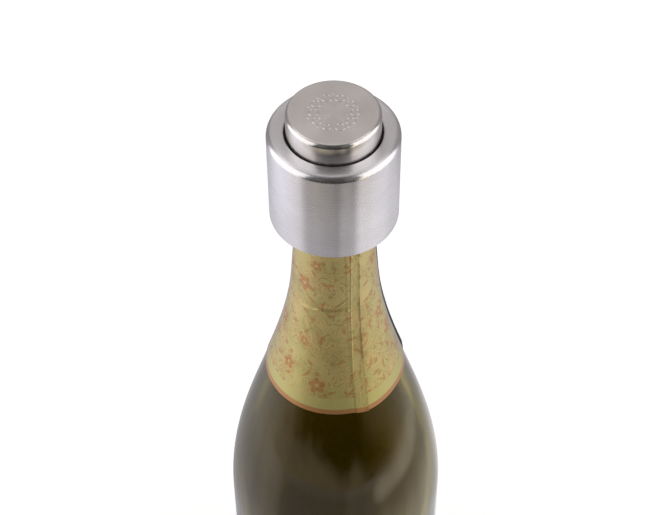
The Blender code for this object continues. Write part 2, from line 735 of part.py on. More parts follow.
def make_core(plastic, button):
    """The moulded core of the button: a guide hub, a wall in the cap and the cone below it."""
    inner_wall = CORE_RADIUS - CORE_WALL
    bore_top = POST_TOP + PRESS_TRAVEL + RUNNING_GAP
    groove = CLIP_HEIGHT + PRESS_TRAVEL
    outline = [
        (0.0, CORE_TOP),
        (CORE_RADIUS, CORE_TOP),
        (CORE_RADIUS, CAM_TOP),
        (CAM_TOP_RADIUS, CAM_TOP),
        (CAM_BOTTOM_RADIUS, CAM_BOTTOM),
        (CAM_INNER_RADIUS, CAM_BOTTOM),
        (CAM_INNER_RADIUS, CAM_TOP),
        (inner_wall, CAM_TOP + CORE_WALL),
        (inner_wall, CORE_CEILING),
        (HUB_RADIUS, CORE_CEILING),
        (HUB_RADIUS, HUB_BOTTOM),
        (HUB_BORE, HUB_BOTTOM),
        (HUB_BORE, groove - CLIP_GROOVE_HALF),
        (HUB_BORE + CLIP_WIRE, groove),
        (HUB_BORE, groove + CLIP_GROOVE_HALF),
        (HUB_BORE, bore_top),
        (0.0, bore_top),
    ]
    return turned("button_core", outline, plastic, button)


# Jaws

def jaw_outline():
    """One jaw seen from its side, drawn from its pin: nose and arm up, hook down."""
    nose = NOSE_RADIUS - PIVOT_RADIUS
    leg_inner = LEG_INNER_RADIUS - PIVOT_RADIUS
    leg_outer = LEG_OUTER_RADIUS - PIVOT_RADIUS
    hook_tip = HOOK_TIP_RADIUS - PIVOT_RADIUS
    hook_top = HOOK_TOP - PIVOT_HEIGHT
    hook_bottom = HOOK_BOTTOM - PIVOT_HEIGHT
    inner_leg_angle = math.degrees(math.asin(leg_inner / BOSS_RADIUS))
    inner_arm_angle = math.degrees(math.acos(ARM_INNER_INSET / BOSS_RADIUS))
    outer_arm_angle = math.degrees(math.acos(ARM_OUTER_OFFSET / BOSS_RADIUS))
    outer_leg_angle = math.degrees(math.acos(leg_outer / BOSS_RADIUS))
    points = [(leg_inner, hook_top)]
    points += arc((0.0, 0.0), BOSS_RADIUS, 270.0 + inner_leg_angle, 180.0 - inner_arm_angle)
    points += [
        (-ARM_INNER_INSET, NOSE_RISE - 2 * NOSE_HALF),
        (nose, NOSE_RISE - NOSE_HALF),
        (nose, NOSE_RISE + NOSE_HALF),
        (-ARM_INNER_INSET, NOSE_RISE + 2 * NOSE_HALF),
        (-ARM_INNER_INSET, ARM_RISE),
        (ARM_OUTER_OFFSET, ARM_RISE),
    ]
    points += arc((0.0, 0.0), BOSS_RADIUS, outer_arm_angle, -outer_leg_angle)
    points += [
        (leg_outer, hook_bottom),
        (hook_tip + HOOK_BEVEL, hook_bottom),
        (hook_tip, hook_bottom + HOOK_BEVEL),
        (hook_tip, hook_top),
    ]
    return points


def make_jaws(plastic, steel, stopper):
    """Each jaw and its pin stand in a frame whose origin is the pin's middle."""
    outline = jaw_outline()
    for number, turn in enumerate(jaw_turns(), start=1):
        hinge = empty(f"jaw_{number}_hinge", PIVOT_HEIGHT, stopper)
        hinge.location.x = PIVOT_RADIUS * math.cos(turn)
        hinge.location.y = PIVOT_RADIUS * math.sin(turn)
        hinge.rotation_euler.z = turn
        jaw = extruded(f"jaw_{number}", outline, JAW_WIDTH, plastic, hinge)
        bore = rods(f"jaw_{number}_bore", PIN_RADIUS + PIN_FIT, JAW_WIDTH + 2 * OVERRUN,
                    [Matrix.Identity(4)], None, hinge)
        cut(jaw, bore)
        rods(f"jaw_pin_{number}", PIN_RADIUS, PIN_LENGTH, [Matrix.Identity(4)], steel, hinge)


def main():
    clear_scene()
    glass = finish("glass_olive", (0.10, 0.09, 0.02), 0.08, 0.0, 0.6)
    gold = finish("foil_gold", (0.50, 0.42, 0.18), 0.38, 0.35)
    steel = finish("steel_brushed", (0.62, 0.60, 0.60), 0.32, 1.0)
    wire = finish("steel_wire", (0.50, 0.50, 0.52), 0.25, 1.0)
    black = finish("plastic_black", (0.02, 0.02, 0.02), 0.45)
    grey = finish("plastic_grey", (0.22, 0.22, 0.23), 0.5)
    silicone = finish("silicone_clear", (0.70, 0.70, 0.68), 0.55)
    rubber = finish("rubber_black", (0.03, 0.03, 0.03), 0.7)

    make_bottle(glass)
    make_foil(gold)
    make_flap(gold)

    stopper = empty("stopper_frame", MOUTH)
    make_shell(steel, stopper)
    make_bush(black, stopper)
    make_chassis(grey, stopper)
    make_base_ring(black, stopper)
    make_seal(silicone, stopper)
    make_plate(steel, stopper)
    make_screw(wire, stopper)
    make_return_ring(rubber, stopper)
    make_clip(wire, stopper)
    make_spring(wire, stopper)
    make_jaws(grey, wire, stopper)

    button = empty("button_frame", 0.0, stopper)
    make_cap(steel, button)
    make_core(black, button)


main()
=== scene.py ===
# %% [markdown]
# # A sparkling-wine bottle with a push-button stopper
# The bottle is dark olive glass with a printed gold foil round its neck. A brushed steel
# stopper closes it: a thick sleeve, with a button in the middle that locks its jaws under
# the bottle's ring. The mechanical model gives every place and size, and this file makes
# what a camera sees. Pieces whose shape is right keep their mesh and get a better finish.

# %% The mechanical model
import math

import bmesh
import bpy
from mathutils import Matrix, Vector, noise


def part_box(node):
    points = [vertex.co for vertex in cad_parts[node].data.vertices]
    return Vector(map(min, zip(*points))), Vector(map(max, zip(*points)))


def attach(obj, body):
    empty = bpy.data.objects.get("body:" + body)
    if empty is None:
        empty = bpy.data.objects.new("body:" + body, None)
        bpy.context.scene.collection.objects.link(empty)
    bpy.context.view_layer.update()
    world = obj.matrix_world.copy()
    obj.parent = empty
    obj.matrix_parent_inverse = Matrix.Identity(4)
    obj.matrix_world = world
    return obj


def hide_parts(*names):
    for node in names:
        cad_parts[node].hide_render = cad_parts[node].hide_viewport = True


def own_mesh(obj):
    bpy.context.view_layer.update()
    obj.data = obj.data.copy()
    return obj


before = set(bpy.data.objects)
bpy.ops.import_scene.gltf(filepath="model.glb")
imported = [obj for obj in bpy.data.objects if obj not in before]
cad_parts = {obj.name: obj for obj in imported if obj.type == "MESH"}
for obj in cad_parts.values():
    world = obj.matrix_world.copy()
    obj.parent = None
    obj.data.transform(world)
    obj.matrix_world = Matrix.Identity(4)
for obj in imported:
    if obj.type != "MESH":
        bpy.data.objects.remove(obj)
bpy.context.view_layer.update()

# %% [markdown]
# # Sizes
# Most sizes are read back from the model's own pieces, so that nothing here drifts away
# from it. The outline of the glass is a curve, and the model holds it only as corners, so
# the few values that the curve needs are given again. Lengths are in metres, +Z is up and
# the bottle stands on z = 0 with its front at -Y.

# %% Sizes
MM = 0.001
shell_low, shell_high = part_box("outer_shell")
cap_low, cap_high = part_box("button_cap")
foil_low, foil_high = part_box("neck_foil")
flap_low, flap_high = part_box("foil_flap")
bottle_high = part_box("bottle")[1]

BODY_RADIUS = bottle_high[0]
MOUTH = bottle_high[2]
RING_DEPTH = 16.5 * MM
NECK_LENGTH = 38.0 * MM
SHOULDER_LENGTH = 137.1 * MM
RING_UNDERSIDE = MOUTH - RING_DEPTH
NECK_FOOT = RING_UNDERSIDE - NECK_LENGTH
BODY_TOP = NECK_FOOT - SHOULDER_LENGTH
NECK_FOOT_RADIUS = 15.65 * MM
NECK_TOP_RADIUS = 13.03 * MM
SHOULDER_PULL_SHARE = 0.361
SWEEP_PULL_SHARE = 0.356
FOIL_BOTTOM = foil_low[2]
FOIL_TOP = foil_high[2]
SHELL_RADIUS = shell_high[0]
BUTTON_RADIUS = cap_high[0]
print("shell", round(SHELL_RADIUS / MM, 2), "button", round(BUTTON_RADIUS / MM, 2), "mm radius")


# %% [markdown]
# # Turned shapes
# Glass from a round mould, a spun steel sleeve and a pressed cap are all turned shapes: one
# outline of radius and height, spun round the axis. A Screw modifier would do it as well,
# but mesh code keeps the outline in plain numbers and closes the poles at once.

# %% Outlines and turning
WELD_DISTANCE = 0.001 * MM


def arc(centre, radius, start, end, steps):
    """Points along an arc, from one angle to another in degrees."""
    points = []
    for step in range(steps + 1):
        angle = math.radians(start + (end - start) * step / steps)
        points.append((centre[0] + radius * math.cos(angle), centre[1] + radius * math.sin(angle)))
    return points


def bezier(start, start_pull, end_pull, end, steps):
    """Points along a cubic curve between two ends and their two pulls."""
    points = []
    for step in range(steps + 1):
        t = step / steps
        shares = ((1 - t) ** 3, 3 * t * (1 - t) ** 2, 3 * t * t * (1 - t), t ** 3)
        ends = (start, start_pull, end_pull, end)
        radius = sum(share * point[0] for share, point in zip(shares, ends))
        height = sum(share * point[1] for share, point in zip(shares, ends))
        points.append((radius, height))
    return points


def around(angle, radius, height):
    """A point at an angle from the front, towards +X, at a radius and a height."""
    return (radius * math.sin(angle), -radius * math.cos(angle), height)


def link(name, mesh, sharp=35.0):
    """Link a finished mesh, smooth except at its real edges."""
    piece = bpy.data.objects.new(name, mesh)
    mesh.shade_smooth()
    mesh.set_sharp_from_angle(angle=math.radians(sharp))
    bpy.context.scene.collection.objects.link(piece)
    return piece


def turned(name, outline, sides, sharp=35.0):
    """Turn an outline of (radius, height) round the axis into one closed body."""
    form = bmesh.new()
    corners = [form.verts.new((radius, 0.0, height)) for radius, height in outline]
    edges = [form.edges.new(pair) for pair in zip(corners, corners[1:])]
    if outline[0][0] > 0.0 or outline[-1][0] > 0.0:
        edges.append(form.edges.new((corners[-1], corners[0])))
    bmesh.ops.spin(form, geom=corners + edges, cent=(0, 0, 0), axis=(0, 0, 1),
                   angle=math.tau, steps=sides, use_merge=True)
    bmesh.ops.remove_doubles(form, verts=form.verts, dist=WELD_DISTANCE)
    bmesh.ops.recalc_face_normals(form, faces=form.faces)
    mesh = bpy.data.meshes.new(name)
    form.to_mesh(mesh)
    form.free()
    return link(name, mesh, sharp)


# %% [markdown]
# # Building materials from nodes
# A material is a small net of nodes. These helpers keep each net short to write: one adds a
# node and feeds its sockets, others do a sum, blend two colours or lay soft noise. Patterns
# are read from Object coordinates, or from the foil's own map, so they stay put when a piece
# moves.

# %% Helpers for numbers and colours
def add(tree, kind, feeds=None, **settings):
    """Add a node, with values or other nodes' outputs fed to its sockets."""
    made = tree.nodes.new(kind)
    for name, value in settings.items():
        setattr(made, name, value)
    for socket, value in (feeds or {}).items():
        if isinstance(value, bpy.types.NodeSocket):
            tree.links.new(value, made.inputs[socket])
        else:
            made.inputs[socket].default_value = value
    return made


def calc(tree, operation, first, second=0.0, third=0.0, clamp=False):
    """One sum."""
    return add(tree, "ShaderNodeMath", {0: first, 1: second, 2: third}, operation=operation,
               use_clamp=clamp).outputs[0]


def times(tree, product, *factors):
    """Several values multiplied."""
    for factor in factors:
        product = calc(tree, "MULTIPLY", product, factor)
    return product


def ramp(tree, value, low, high, to_low=0.0, to_high=1.0):
    """Carry a value smoothly from one range to another."""
    made = add(tree, "ShaderNodeMapRange", {"Value": value, "From Min": low, "From Max": high,
                                            "To Min": to_low, "To Max": to_high},
               interpolation_type="SMOOTHSTEP")
    return made.outputs[0]


def between(tree, share, first, second):
    """A value part of the way from one to another."""
    return add(tree, "ShaderNodeMix", {0: share, 2: first, 3: second}).outputs[0]


def blend(tree, share, first, second):
    """Blend two colours."""
    made = add(tree, "ShaderNodeMix", {0: share}, data_type="RGBA")
    for socket, colour in ((6, first), (7, second)):
        if isinstance(colour, bpy.types.NodeSocket):
            tree.links.new(colour, made.inputs[socket])
        else:
            made.inputs[socket].default_value = (*colour, 1.0)
    return made.outputs[2]


def shade_of(colour, share):
    """A colour made darker or lighter."""
    return [share * part for part in colour]


# %% Helpers for places and patterns
def object_place(tree):
    """Object coordinates, which stay put on a piece."""
    return tree.nodes.new("ShaderNodeTexCoord").outputs["Object"]


def parts_of(tree, place):
    """The X, Y and Z of a place."""
    parts = add(tree, "ShaderNodeSeparateXYZ", {0: place})
    return parts.outputs[0], parts.outputs[1], parts.outputs[2]


def length_of(tree, place):
    """How far a place is from the origin."""
    return add(tree, "ShaderNodeVectorMath", {0: place}, operation="LENGTH").outputs["Value"]


def azimuth_at(tree, place):
    """The angle round the axis, in degrees from the front towards +X."""
    x, y = parts_of(tree, place)[:2]
    return times(tree, calc(tree, "ARCTAN2", x, times(tree, y, -1.0)), math.degrees(1.0))


def clouds(tree, place, scale, detail, flat=False, **more):
    """Soft noise of so many features per metre, through space or on a flat map."""
    feeds = {"Vector": place, "Scale": scale, "Detail": detail, **more}
    return add(tree, "ShaderNodeTexNoise", feeds, noise_dimensions="2D" if flat else "3D").outputs[0]


def bump(tree, shader, height, strength, distance):
    """Raise the surface by a pattern, for the light only."""
    made = add(tree, "ShaderNodeBump", {"Height": height, "Strength": strength,
                                        "Distance": distance})
    tree.links.new(made.outputs[0], shader.inputs["Normal"])


def start_material(name):
    """A new material, with its tree and its main shader."""
    material = bpy.data.materials.new(name)
    material.use_nodes = True
    tree = material.node_tree
    return material, tree, tree.nodes["Principled BSDF"]


def seen_plainly(tree, ray):
    """1 for the camera's own rays, and for those that pass through the glass."""
    return calc(tree, "MAXIMUM", ray.outputs["Is Camera Ray"], ray.outputs["Is Transmission Ray"])


# %% [markdown]
# # The camera
# The photograph looks down on the stopper at 49 degrees from little more than half a metre.
# These values come from fitting the ellipses of the button, the gap and the sleeve and the
# outline of the shoulder, so the model's own sizes fall where the photograph shows them.

# %% Camera
PHOTO_WIDTH = 670
FOCAL_PIXELS = 1684.0
CAMERA_PLACE = Vector((0.0, -0.4081, 0.7205))
LOOK_DOWN = math.radians(48.976)
LOOK_ASIDE = math.radians(0.032)
CAMERA_ROLL = math.radians(-0.331)

ahead = Vector((math.sin(LOOK_ASIDE) * math.cos(LOOK_DOWN),
                math.cos(LOOK_ASIDE) * math.cos(LOOK_DOWN), -math.sin(LOOK_DOWN)))
level = Vector((math.cos(LOOK_ASIDE), -math.sin(LOOK_ASIDE), 0.0))
upright = level.cross(ahead)
rolled_right = math.cos(CAMERA_ROLL) * level + math.sin(CAMERA_ROLL) * upright
rolled_up = math.cos(CAMERA_ROLL) * upright - math.sin(CAMERA_ROLL) * level

camera_data = bpy.data.cameras.new("camera")
camera_data.sensor_width = 36.0
camera_data.sensor_fit = "HORIZONTAL"
camera_data.lens = FOCAL_PIXELS / PHOTO_WIDTH * camera_data.sensor_width
camera_data.clip_start = 0.01
camera = bpy.data.objects.new("camera", camera_data)
turn = Matrix((rolled_right, rolled_up, -ahead)).transposed().to_4x4()
camera.matrix_world = Matrix.Translation(CAMERA_PLACE) @ turn
bpy.context.scene.collection.objects.link(camera)
bpy.context.scene.camera = camera
bpy.context.scene.view_settings.view_transform = "Standard"
print("lens", round(camera_data.lens, 2), "mm")

# %% [markdown]
# # Light
# Polished metal and glass show what stands round them more than their own colour. The
# photograph has a tall white box at each side, smaller ones behind and overhead, and darkness
# where the camera stands. The boxes are area lamps. The world is a grey room that is darker
# towards the front, and darkest in the middle there, and it turns plain white for the camera
# and for what is seen through the glass.

# %% Lamps
SUBJECT = Vector((0.0, 0.0, 0.27))


def soft_box(name, azimuth, elevation, distance, width, height, radiance, upright=False):
    """An area lamp in a direction from the stopper, which the camera itself doesn't see."""
    data = bpy.data.lights.new(name, "AREA")
    data.shape = "RECTANGLE"
    data.size = width
    data.size_y = height
    data.energy = radiance * math.pi * width * height
    lamp = bpy.data.objects.new(name, data)
    aside, up = math.radians(azimuth), math.radians(elevation)
    toward = Vector((math.sin(aside) * math.cos(up), -math.cos(aside) * math.cos(up), math.sin(up)))
    lamp.location = SUBJECT + distance * toward
    if upright:
        toward.z = 0.0
    lamp.rotation_euler = (-toward).to_track_quat("-Z", "Y").to_euler()
    lamp.visible_camera = False
    bpy.context.scene.collection.objects.link(lamp)


soft_box("left_box", azimuth=-77.5, elevation=37.8, distance=1.265, width=1.42, height=1.65,
         radiance=1.08, upright=True)
soft_box("right_box", azimuth=75.0, elevation=37.8, distance=1.265, width=1.32, height=1.65,
         radiance=1.08, upright=True)
soft_box("left_rear_box", azimuth=-141.0, elevation=60.0, distance=1.10, width=0.26, height=0.26,
         radiance=1.00)
soft_box("right_rear_box", azimuth=141.0, elevation=63.0, distance=1.10, width=0.22, height=0.22,
         radiance=1.00)
soft_box("top_box", azimuth=180.0, elevation=84.0, distance=1.10, width=0.80, height=0.36,
         radiance=0.25)
print("lamps", len(bpy.data.lights))

# %% The room
WHITE = (1.0, 1.0, 1.0)
FRONT_LEFT = (0.110, 0.107, 0.108)
FRONT_MIDDLE = (0.062, 0.060, 0.060)
FRONT_RIGHT = (0.150, 0.143, 0.138)
BACK_LEFT = (0.525, 0.500, 0.488)
BACK_RIGHT = (0.445, 0.424, 0.410)
BACK_CORNERS = (0.27, 0.262, 0.260)

# A pair tells where one colour turns into the next, as a part of the direction looked in.
LEFT_OF_CAMERA = (-0.27, -0.23)
RIGHT_OF_CAMERA = (0.25, 0.29)
INTO_CORNERS = (0.40, 0.62)
LEFT_TO_RIGHT = (-0.35, 0.35)
FRONT_TO_BACK = (-0.55, 0.35)

world = bpy.data.worlds.new("studio")
world.use_nodes = True
bpy.context.scene.world = world
tree = world.node_tree
room = tree.nodes["Background"]
direction = tree.nodes.new("ShaderNodeTexCoord").outputs["Generated"]
sideways, backwards = parts_of(tree, direction)[:2]
front_colour = blend(tree, ramp(tree, sideways, *LEFT_OF_CAMERA), FRONT_LEFT, FRONT_MIDDLE)
front_colour = blend(tree, ramp(tree, sideways, *RIGHT_OF_CAMERA), front_colour, FRONT_RIGHT)
in_corner = ramp(tree, calc(tree, "ABSOLUTE", sideways), *INTO_CORNERS)
back_colour = blend(tree, ramp(tree, sideways, *LEFT_TO_RIGHT), BACK_LEFT, BACK_RIGHT)
back_colour = blend(tree, in_corner, back_colour, BACK_CORNERS)
room_colour = blend(tree, ramp(tree, backwards, *FRONT_TO_BACK), front_colour, back_colour)
ray = tree.nodes.new("ShaderNodeLightPath")
tree.links.new(blend(tree, seen_plainly(tree, ray), room_colour, WHITE), room.inputs[0])
print("room", len(tree.nodes), "nodes")

# %% [markdown]
# # The floor
# The floor is plain and pale. The camera sees it as white, because it gives off a little
# light of its own for camera rays, and the shadow still shows in what it reflects. What the
# metal and the glass mirror is mostly this floor, so their rays find more in it: white at
# both sides, grey close by in front, where the photographer stands in the light, and dark
# farther out, which leaves the middle of the glass its own olive. The grey reaches farther
# out at the front left, and shows in the glass as a pale patch. Far behind, the white ends.

# %% Where the floor changes
# A pair tells where a change begins and ends, in degrees from the front towards +X.
LEFT_NEAR = (-66.0, -34.0)
LEFT_FAR = (-90.0, -28.0)
LEFT_HORIZON = (-56.0, -44.0)
LEFT_REAR = (-132.0, -95.0)
RIGHT_NEAR = (27.0, 44.0)
RIGHT_FAR = (21.0, 104.0)
RIGHT_HORIZON = (32.0, 42.0)
RIGHT_SWEEP = (60.0, 130.0)
RIGHT_CORNER = (22.0, 36.0)
GREY_LEFT = (-46.0, -16.0)
GREY_RIGHT = (4.0, 14.0)
PATCH_LEFT = (-22.0, 9.0)
PATCH_RIGHT = (12.0, 20.0)
PATCH_RIGHT_END = (22.0, 32.0)
REAR_CORNERS = (110.0, 124.0)
REAR_MIDDLE = (138.0, 168.0)
WARM_FRONT = (30.0, 85.0)
HUE_TURN = (-30.0, 30.0)

# These pairs are in metres from the middle of the bottle's base.
LEFT_BEYOND = (0.316, 0.340)
RIGHT_BEYOND = (0.280, 0.370)
HORIZON = (0.45, 0.60)
OUTER_RISE = (0.36, 0.60)
LEFT_FOOT = (0.20, 0.29)
RIGHT_FOOT = (0.15, 0.225)
RIGHT_RING_START = (0.205, 0.265)
RIGHT_RING_END = (0.275, 0.335)
RIGHT_SLANT = (0.39, 0.46)
GREY_NEAR = (0.270, 0.315)
GREY_END = (0.305, 0.425)
PATCH_START = (0.312, 0.335)
REAR_START = (0.34, 0.44)

# These levels stay the same over their zone.
PATCH_LEVEL = 0.62
REAR_LEVEL = 0.62
DARK_LEVEL = 0.015

# %% The floor's disc
bpy.ops.mesh.primitive_circle_add(vertices=96, radius=6.0, fill_type="NGON")
floor = bpy.context.object
floor.name = "floor"
floor.data.name = "floor"
material, tree, shader = start_material("floor_pale")
tree.nodes.remove(shader)
place = object_place(tree)
azimuth = azimuth_at(tree, place)
off_front = calc(tree, "ABSOLUTE", azimuth)
away = length_of(tree, place)
horizon = ramp(tree, away, *HORIZON)
outward = ramp(tree, away, *OUTER_RISE, 0.0, 0.35)
print("floor", round(floor.dimensions[0], 1), "m across")


# %% White at both sides
def by_distance(near, beyond, middle, outer):
    """A level that has one value near the bottle, one farther out and one at the horizon."""
    return between(tree, horizon, between(tree, beyond, near, middle), outer)


left_level = calc(tree, "ADD", ramp(tree, away, *LEFT_FOOT, 0.66, 0.80), outward)
left_level = times(tree, left_level, ramp(tree, azimuth, *LEFT_REAR, 0.80, 1.0))
left_white = by_distance(ramp(tree, azimuth, *LEFT_NEAR, 1.0, 0.0), ramp(tree, away, *LEFT_BEYOND),
                         ramp(tree, azimuth, *LEFT_FAR, 1.0, 0.0),
                         ramp(tree, azimuth, *LEFT_HORIZON, 1.0, 0.0))

foot_level = ramp(tree, away, *RIGHT_FOOT, 0.88, 0.55)
ring_level = times(tree, ramp(tree, away, *RIGHT_RING_START, 0.0, 0.94),
                   ramp(tree, azimuth, *RIGHT_SWEEP, 1.34, 0.74),
                   ramp(tree, away, *RIGHT_RING_END, 1.05, 0.64))
right_level = calc(tree, "ADD", calc(tree, "MAXIMUM", foot_level, ring_level), outward)
slant = ramp(tree, away, *RIGHT_SLANT, 12.0, 0.0)
right_white = by_distance(ramp(tree, azimuth, *RIGHT_NEAR), ramp(tree, away, *RIGHT_BEYOND),
                          ramp(tree, calc(tree, "SUBTRACT", azimuth, slant), *RIGHT_FAR),
                          ramp(tree, azimuth, *RIGHT_HORIZON))

sides = calc(tree, "MAXIMUM", times(tree, left_white, left_level),
             times(tree, right_white, right_level))
sides = between(tree, ramp(tree, off_front, *REAR_MIDDLE), sides, REAR_LEVEL)
behind = times(tree, ramp(tree, off_front, *REAR_CORNERS), ramp(tree, away, *REAR_START, 0.0, 0.70))
sides = times(tree, sides, calc(tree, "SUBTRACT", 1.0, behind))

# %% Grey in front, and the patch
ragged = clouds(tree, place, 14.0, 3.0)
reach_left = times(tree, ramp(tree, azimuth, *PATCH_LEFT, 1.0, 0.0),
                   calc(tree, "MULTIPLY_ADD", ragged, 0.10, 0.025))
reach_right = times(tree, ramp(tree, azimuth, *PATCH_RIGHT, 0.0, 0.045),
                    ramp(tree, azimuth, *PATCH_RIGHT_END, 1.0, 0.0))
grey_reach = calc(tree, "SUBTRACT", away, calc(tree, "ADD", reach_left, reach_right))
grey_share = ramp(tree, grey_reach, *GREY_END, 1.0, 0.0)
close_level = calc(tree, "MAXIMUM", ramp(tree, azimuth, *GREY_LEFT, 0.50, 0.44),
                   ramp(tree, azimuth, *GREY_RIGHT, 0.43, 0.58))
close_level = times(tree, close_level, ramp(tree, away, *GREY_NEAR, 0.82, 1.12))
patch_share = ramp(tree, away, *PATCH_START)
corner_dark = times(tree, ramp(tree, azimuth, *RIGHT_CORNER, 0.0, 0.60), patch_share)
middle_level = times(tree, between(tree, patch_share, close_level, PATCH_LEVEL),
                     calc(tree, "SUBTRACT", 1.0, corner_dark), grey_share)
level = calc(tree, "MAXIMUM", calc(tree, "MAXIMUM", middle_level, DARK_LEVEL), sides)

# %% Streaks and hues
COOL_LEFT = (1.0, 0.98, 1.045)
COOL_RIGHT = (1.0, 0.98, 1.01)
WARM_PATCH = (1.0, 0.88, 0.66)
spoke = add(tree, "ShaderNodeVectorMath", {0: place}, operation="NORMALIZE").outputs[0]
level = times(tree, level, ramp(tree, clouds(tree, spoke, 5.0, 2.0), 0.3, 0.7, 0.94, 1.08))
side_hue = blend(tree, ramp(tree, azimuth, *HUE_TURN), COOL_LEFT, COOL_RIGHT)
warm_share = times(tree, patch_share, ramp(tree, off_front, *WARM_FRONT, 1.0, 0.0))
hue = blend(tree, warm_share, side_hue, WARM_PATCH)

# %% The floor's finish
FLOOR_GREY = 0.80
FLOOR_GLOW = 0.62
ray = tree.nodes.new("ShaderNodeLightPath")
glow = times(tree, seen_plainly(tree, ray), FLOOR_GLOW)
own_light = add(tree, "ShaderNodeEmission", {"Color": (*WHITE, 1.0), "Strength": glow})
matt = add(tree, "ShaderNodeBsdfDiffuse", {"Color": (*shade_of(WHITE, FLOOR_GREY), 1.0)})
plain = add(tree, "ShaderNodeAddShader", {0: matt.outputs[0], 1: own_light.outputs[0]})
mirrored = add(tree, "ShaderNodeEmission", {"Color": hue, "Strength": level})
shown = add(tree, "ShaderNodeMixShader", {0: ray.outputs["Is Glossy Ray"], 1: plain.outputs[0],
                                          2: mirrored.outputs[0]})
tree.links.new(shown.outputs[0], tree.nodes["Material Output"].inputs[0])
floor.data.materials.append(material)
print("floor finish", len(tree.nodes), "nodes")


# %% [markdown]
# # Brushed steel
# The sleeve and the cap are turned on a lathe with fine paper held against them, so the
# scratches run round the axis: as rings on the flat faces and as level lines on the sides.
# Such a surface smears reflections across the scratches, which is what the shader's
# anisotropy does, with its tangent turned a quarter. The scratches are noise that changes
# fast along (radius - height), which grows all the way from the middle of the top down the
# side, and hardly at all round the axis.

# %% Brushed steel
FINE_LINES = 1250.0
BROAD_LINES = 420.0
AXIS_RADIUS = 0.2 * MM
DULL_STEP = 0.2 * MM
DULL_ROUGHNESS = 0.09
DULL_DEPTH = 0.25 * MM
QUARTER_TURN = 0.25


def turned_noise(tree, across, along, detail=2.0, offset=0.0):
    """Noise in rings round the axis: so many features per metre across, and round it."""
    x, y, z = parts_of(tree, object_place(tree))
    radius = calc(tree, "SQRT", calc(tree, "ADD", times(tree, x, x), times(tree, y, y)))
    safe = calc(tree, "MAXIMUM", radius, AXIS_RADIUS)
    run = times(tree, calc(tree, "SUBTRACT", radius, z), across)
    lines = add(tree, "ShaderNodeCombineXYZ", {
        0: calc(tree, "ADD", run, offset),
        1: times(tree, calc(tree, "DIVIDE", x, safe), along),
        2: times(tree, calc(tree, "DIVIDE", y, safe), along),
    })
    return clouds(tree, lines.outputs[0], 1.0, detail, Roughness=0.6)


def brushed_steel(name, colour, rough, anisotropy, line_bump, dull_above=None):
    """Steel brushed round the axis, and duller on a flat top where a height is given for it."""
    material, tree, shader = start_material(name)
    place = object_place(tree)
    fine = turned_noise(tree, FINE_LINES, 2.8, detail=2.5)
    broad = turned_noise(tree, BROAD_LINES, 0.6, offset=7.0)
    smears = clouds(tree, place, 90.0, 3.0)
    tone = blend(tree, ramp(tree, fine, 0.3, 0.7), shade_of(colour, 1.0 - 0.5 * line_bump),
                 shade_of(colour, 1.0 + 0.3 * line_bump))
    tone = blend(tree, ramp(tree, broad, 0.35, 0.65, 0.0, 2.0 * line_bump), tone,
                 shade_of(colour, 0.88))
    tone = blend(tree, ramp(tree, smears, 0.35, 0.65, 0.0, 0.25), tone, shade_of(colour, 0.80))
    tree.links.new(tone, shader.inputs["Base Color"])
    uneven = calc(tree, "ADD", times(tree, fine, 0.10), times(tree, smears, 0.03))
    roughness = calc(tree, "ADD", rough - 0.05, uneven)
    if dull_above:
        height = parts_of(tree, place)[2]
        duller = ramp(tree, height, dull_above, dull_above + DULL_STEP, 0.0, DULL_ROUGHNESS)
        roughness = calc(tree, "ADD", roughness, duller)
    tree.links.new(roughness, shader.inputs["Roughness"])
    shader.inputs["Metallic"].default_value = 1.0
    shader.inputs["Anisotropic"].default_value = anisotropy
    shader.inputs["Anisotropic Rotation"].default_value = QUARTER_TURN
    round_axis = add(tree, "ShaderNodeTangent", direction_type="RADIAL", axis="Z")
    tree.links.new(round_axis.outputs[0], shader.inputs["Tangent"])
    bump(tree, shader, fine, 0.4 * line_bump, 0.02 * MM)
    return material


sleeve_steel = brushed_steel("brushed_sleeve_steel", colour=(0.89, 0.87, 0.895), rough=0.25,
                             anisotropy=0.82, line_bump=0.065,
                             dull_above=shell_high[2] - DULL_DEPTH)
cap_steel = brushed_steel("spun_cap_steel", colour=(0.84, 0.805, 0.785), rough=0.20,
                          anisotropy=0.88, line_bump=0.03)
print("steels", sleeve_steel.name, cap_steel.name)

# %% [markdown]
# # The sleeve
# One turned outline: a flat rim, a soft round over to the side, a straight side, and a small
# round at the open end, where the wall turns in.

# %% The stopper's sleeve
SHELL_WALL = 1.2 * MM
SHELL_ROUND = 2.4 * MM
INNER_ROUND = 0.7 * MM
EDGE_ROUND = 0.4 * MM
HOLE_RADIUS = 17.1 * MM
HOLE_BREAK = 0.60 * MM
rim = shell_high[2]
foot = shell_low[2]
inner = SHELL_RADIUS - SHELL_WALL
outline = [(HOLE_RADIUS, rim - SHELL_WALL)]
outline += arc((HOLE_RADIUS + HOLE_BREAK, rim - HOLE_BREAK), HOLE_BREAK, 180.0, 90.0, 4)
outline += arc((SHELL_RADIUS - SHELL_ROUND, rim - SHELL_ROUND), SHELL_ROUND, 90.0, 0.0, 20)
outline += arc((SHELL_RADIUS - EDGE_ROUND, foot + EDGE_ROUND), EDGE_ROUND, 0.0, -90.0, 6)
outline.append((inner, foot))
outline += arc((inner - INNER_ROUND, rim - SHELL_WALL - INNER_ROUND), INNER_ROUND, 0.0, 90.0, 4)
sleeve = turned("sleeve_fine", outline, sides=192)
sleeve.data.materials.append(sleeve_steel)
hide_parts("outer_shell")
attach(sleeve, "stopper")
print("sleeve faces", len(sleeve.data.polygons))

# %% [markdown]
# # The button
# A pressed steel cup. Its flat top sits a little low, so that the ring of small bubbles
# stamped up from it stays inside the model's height.

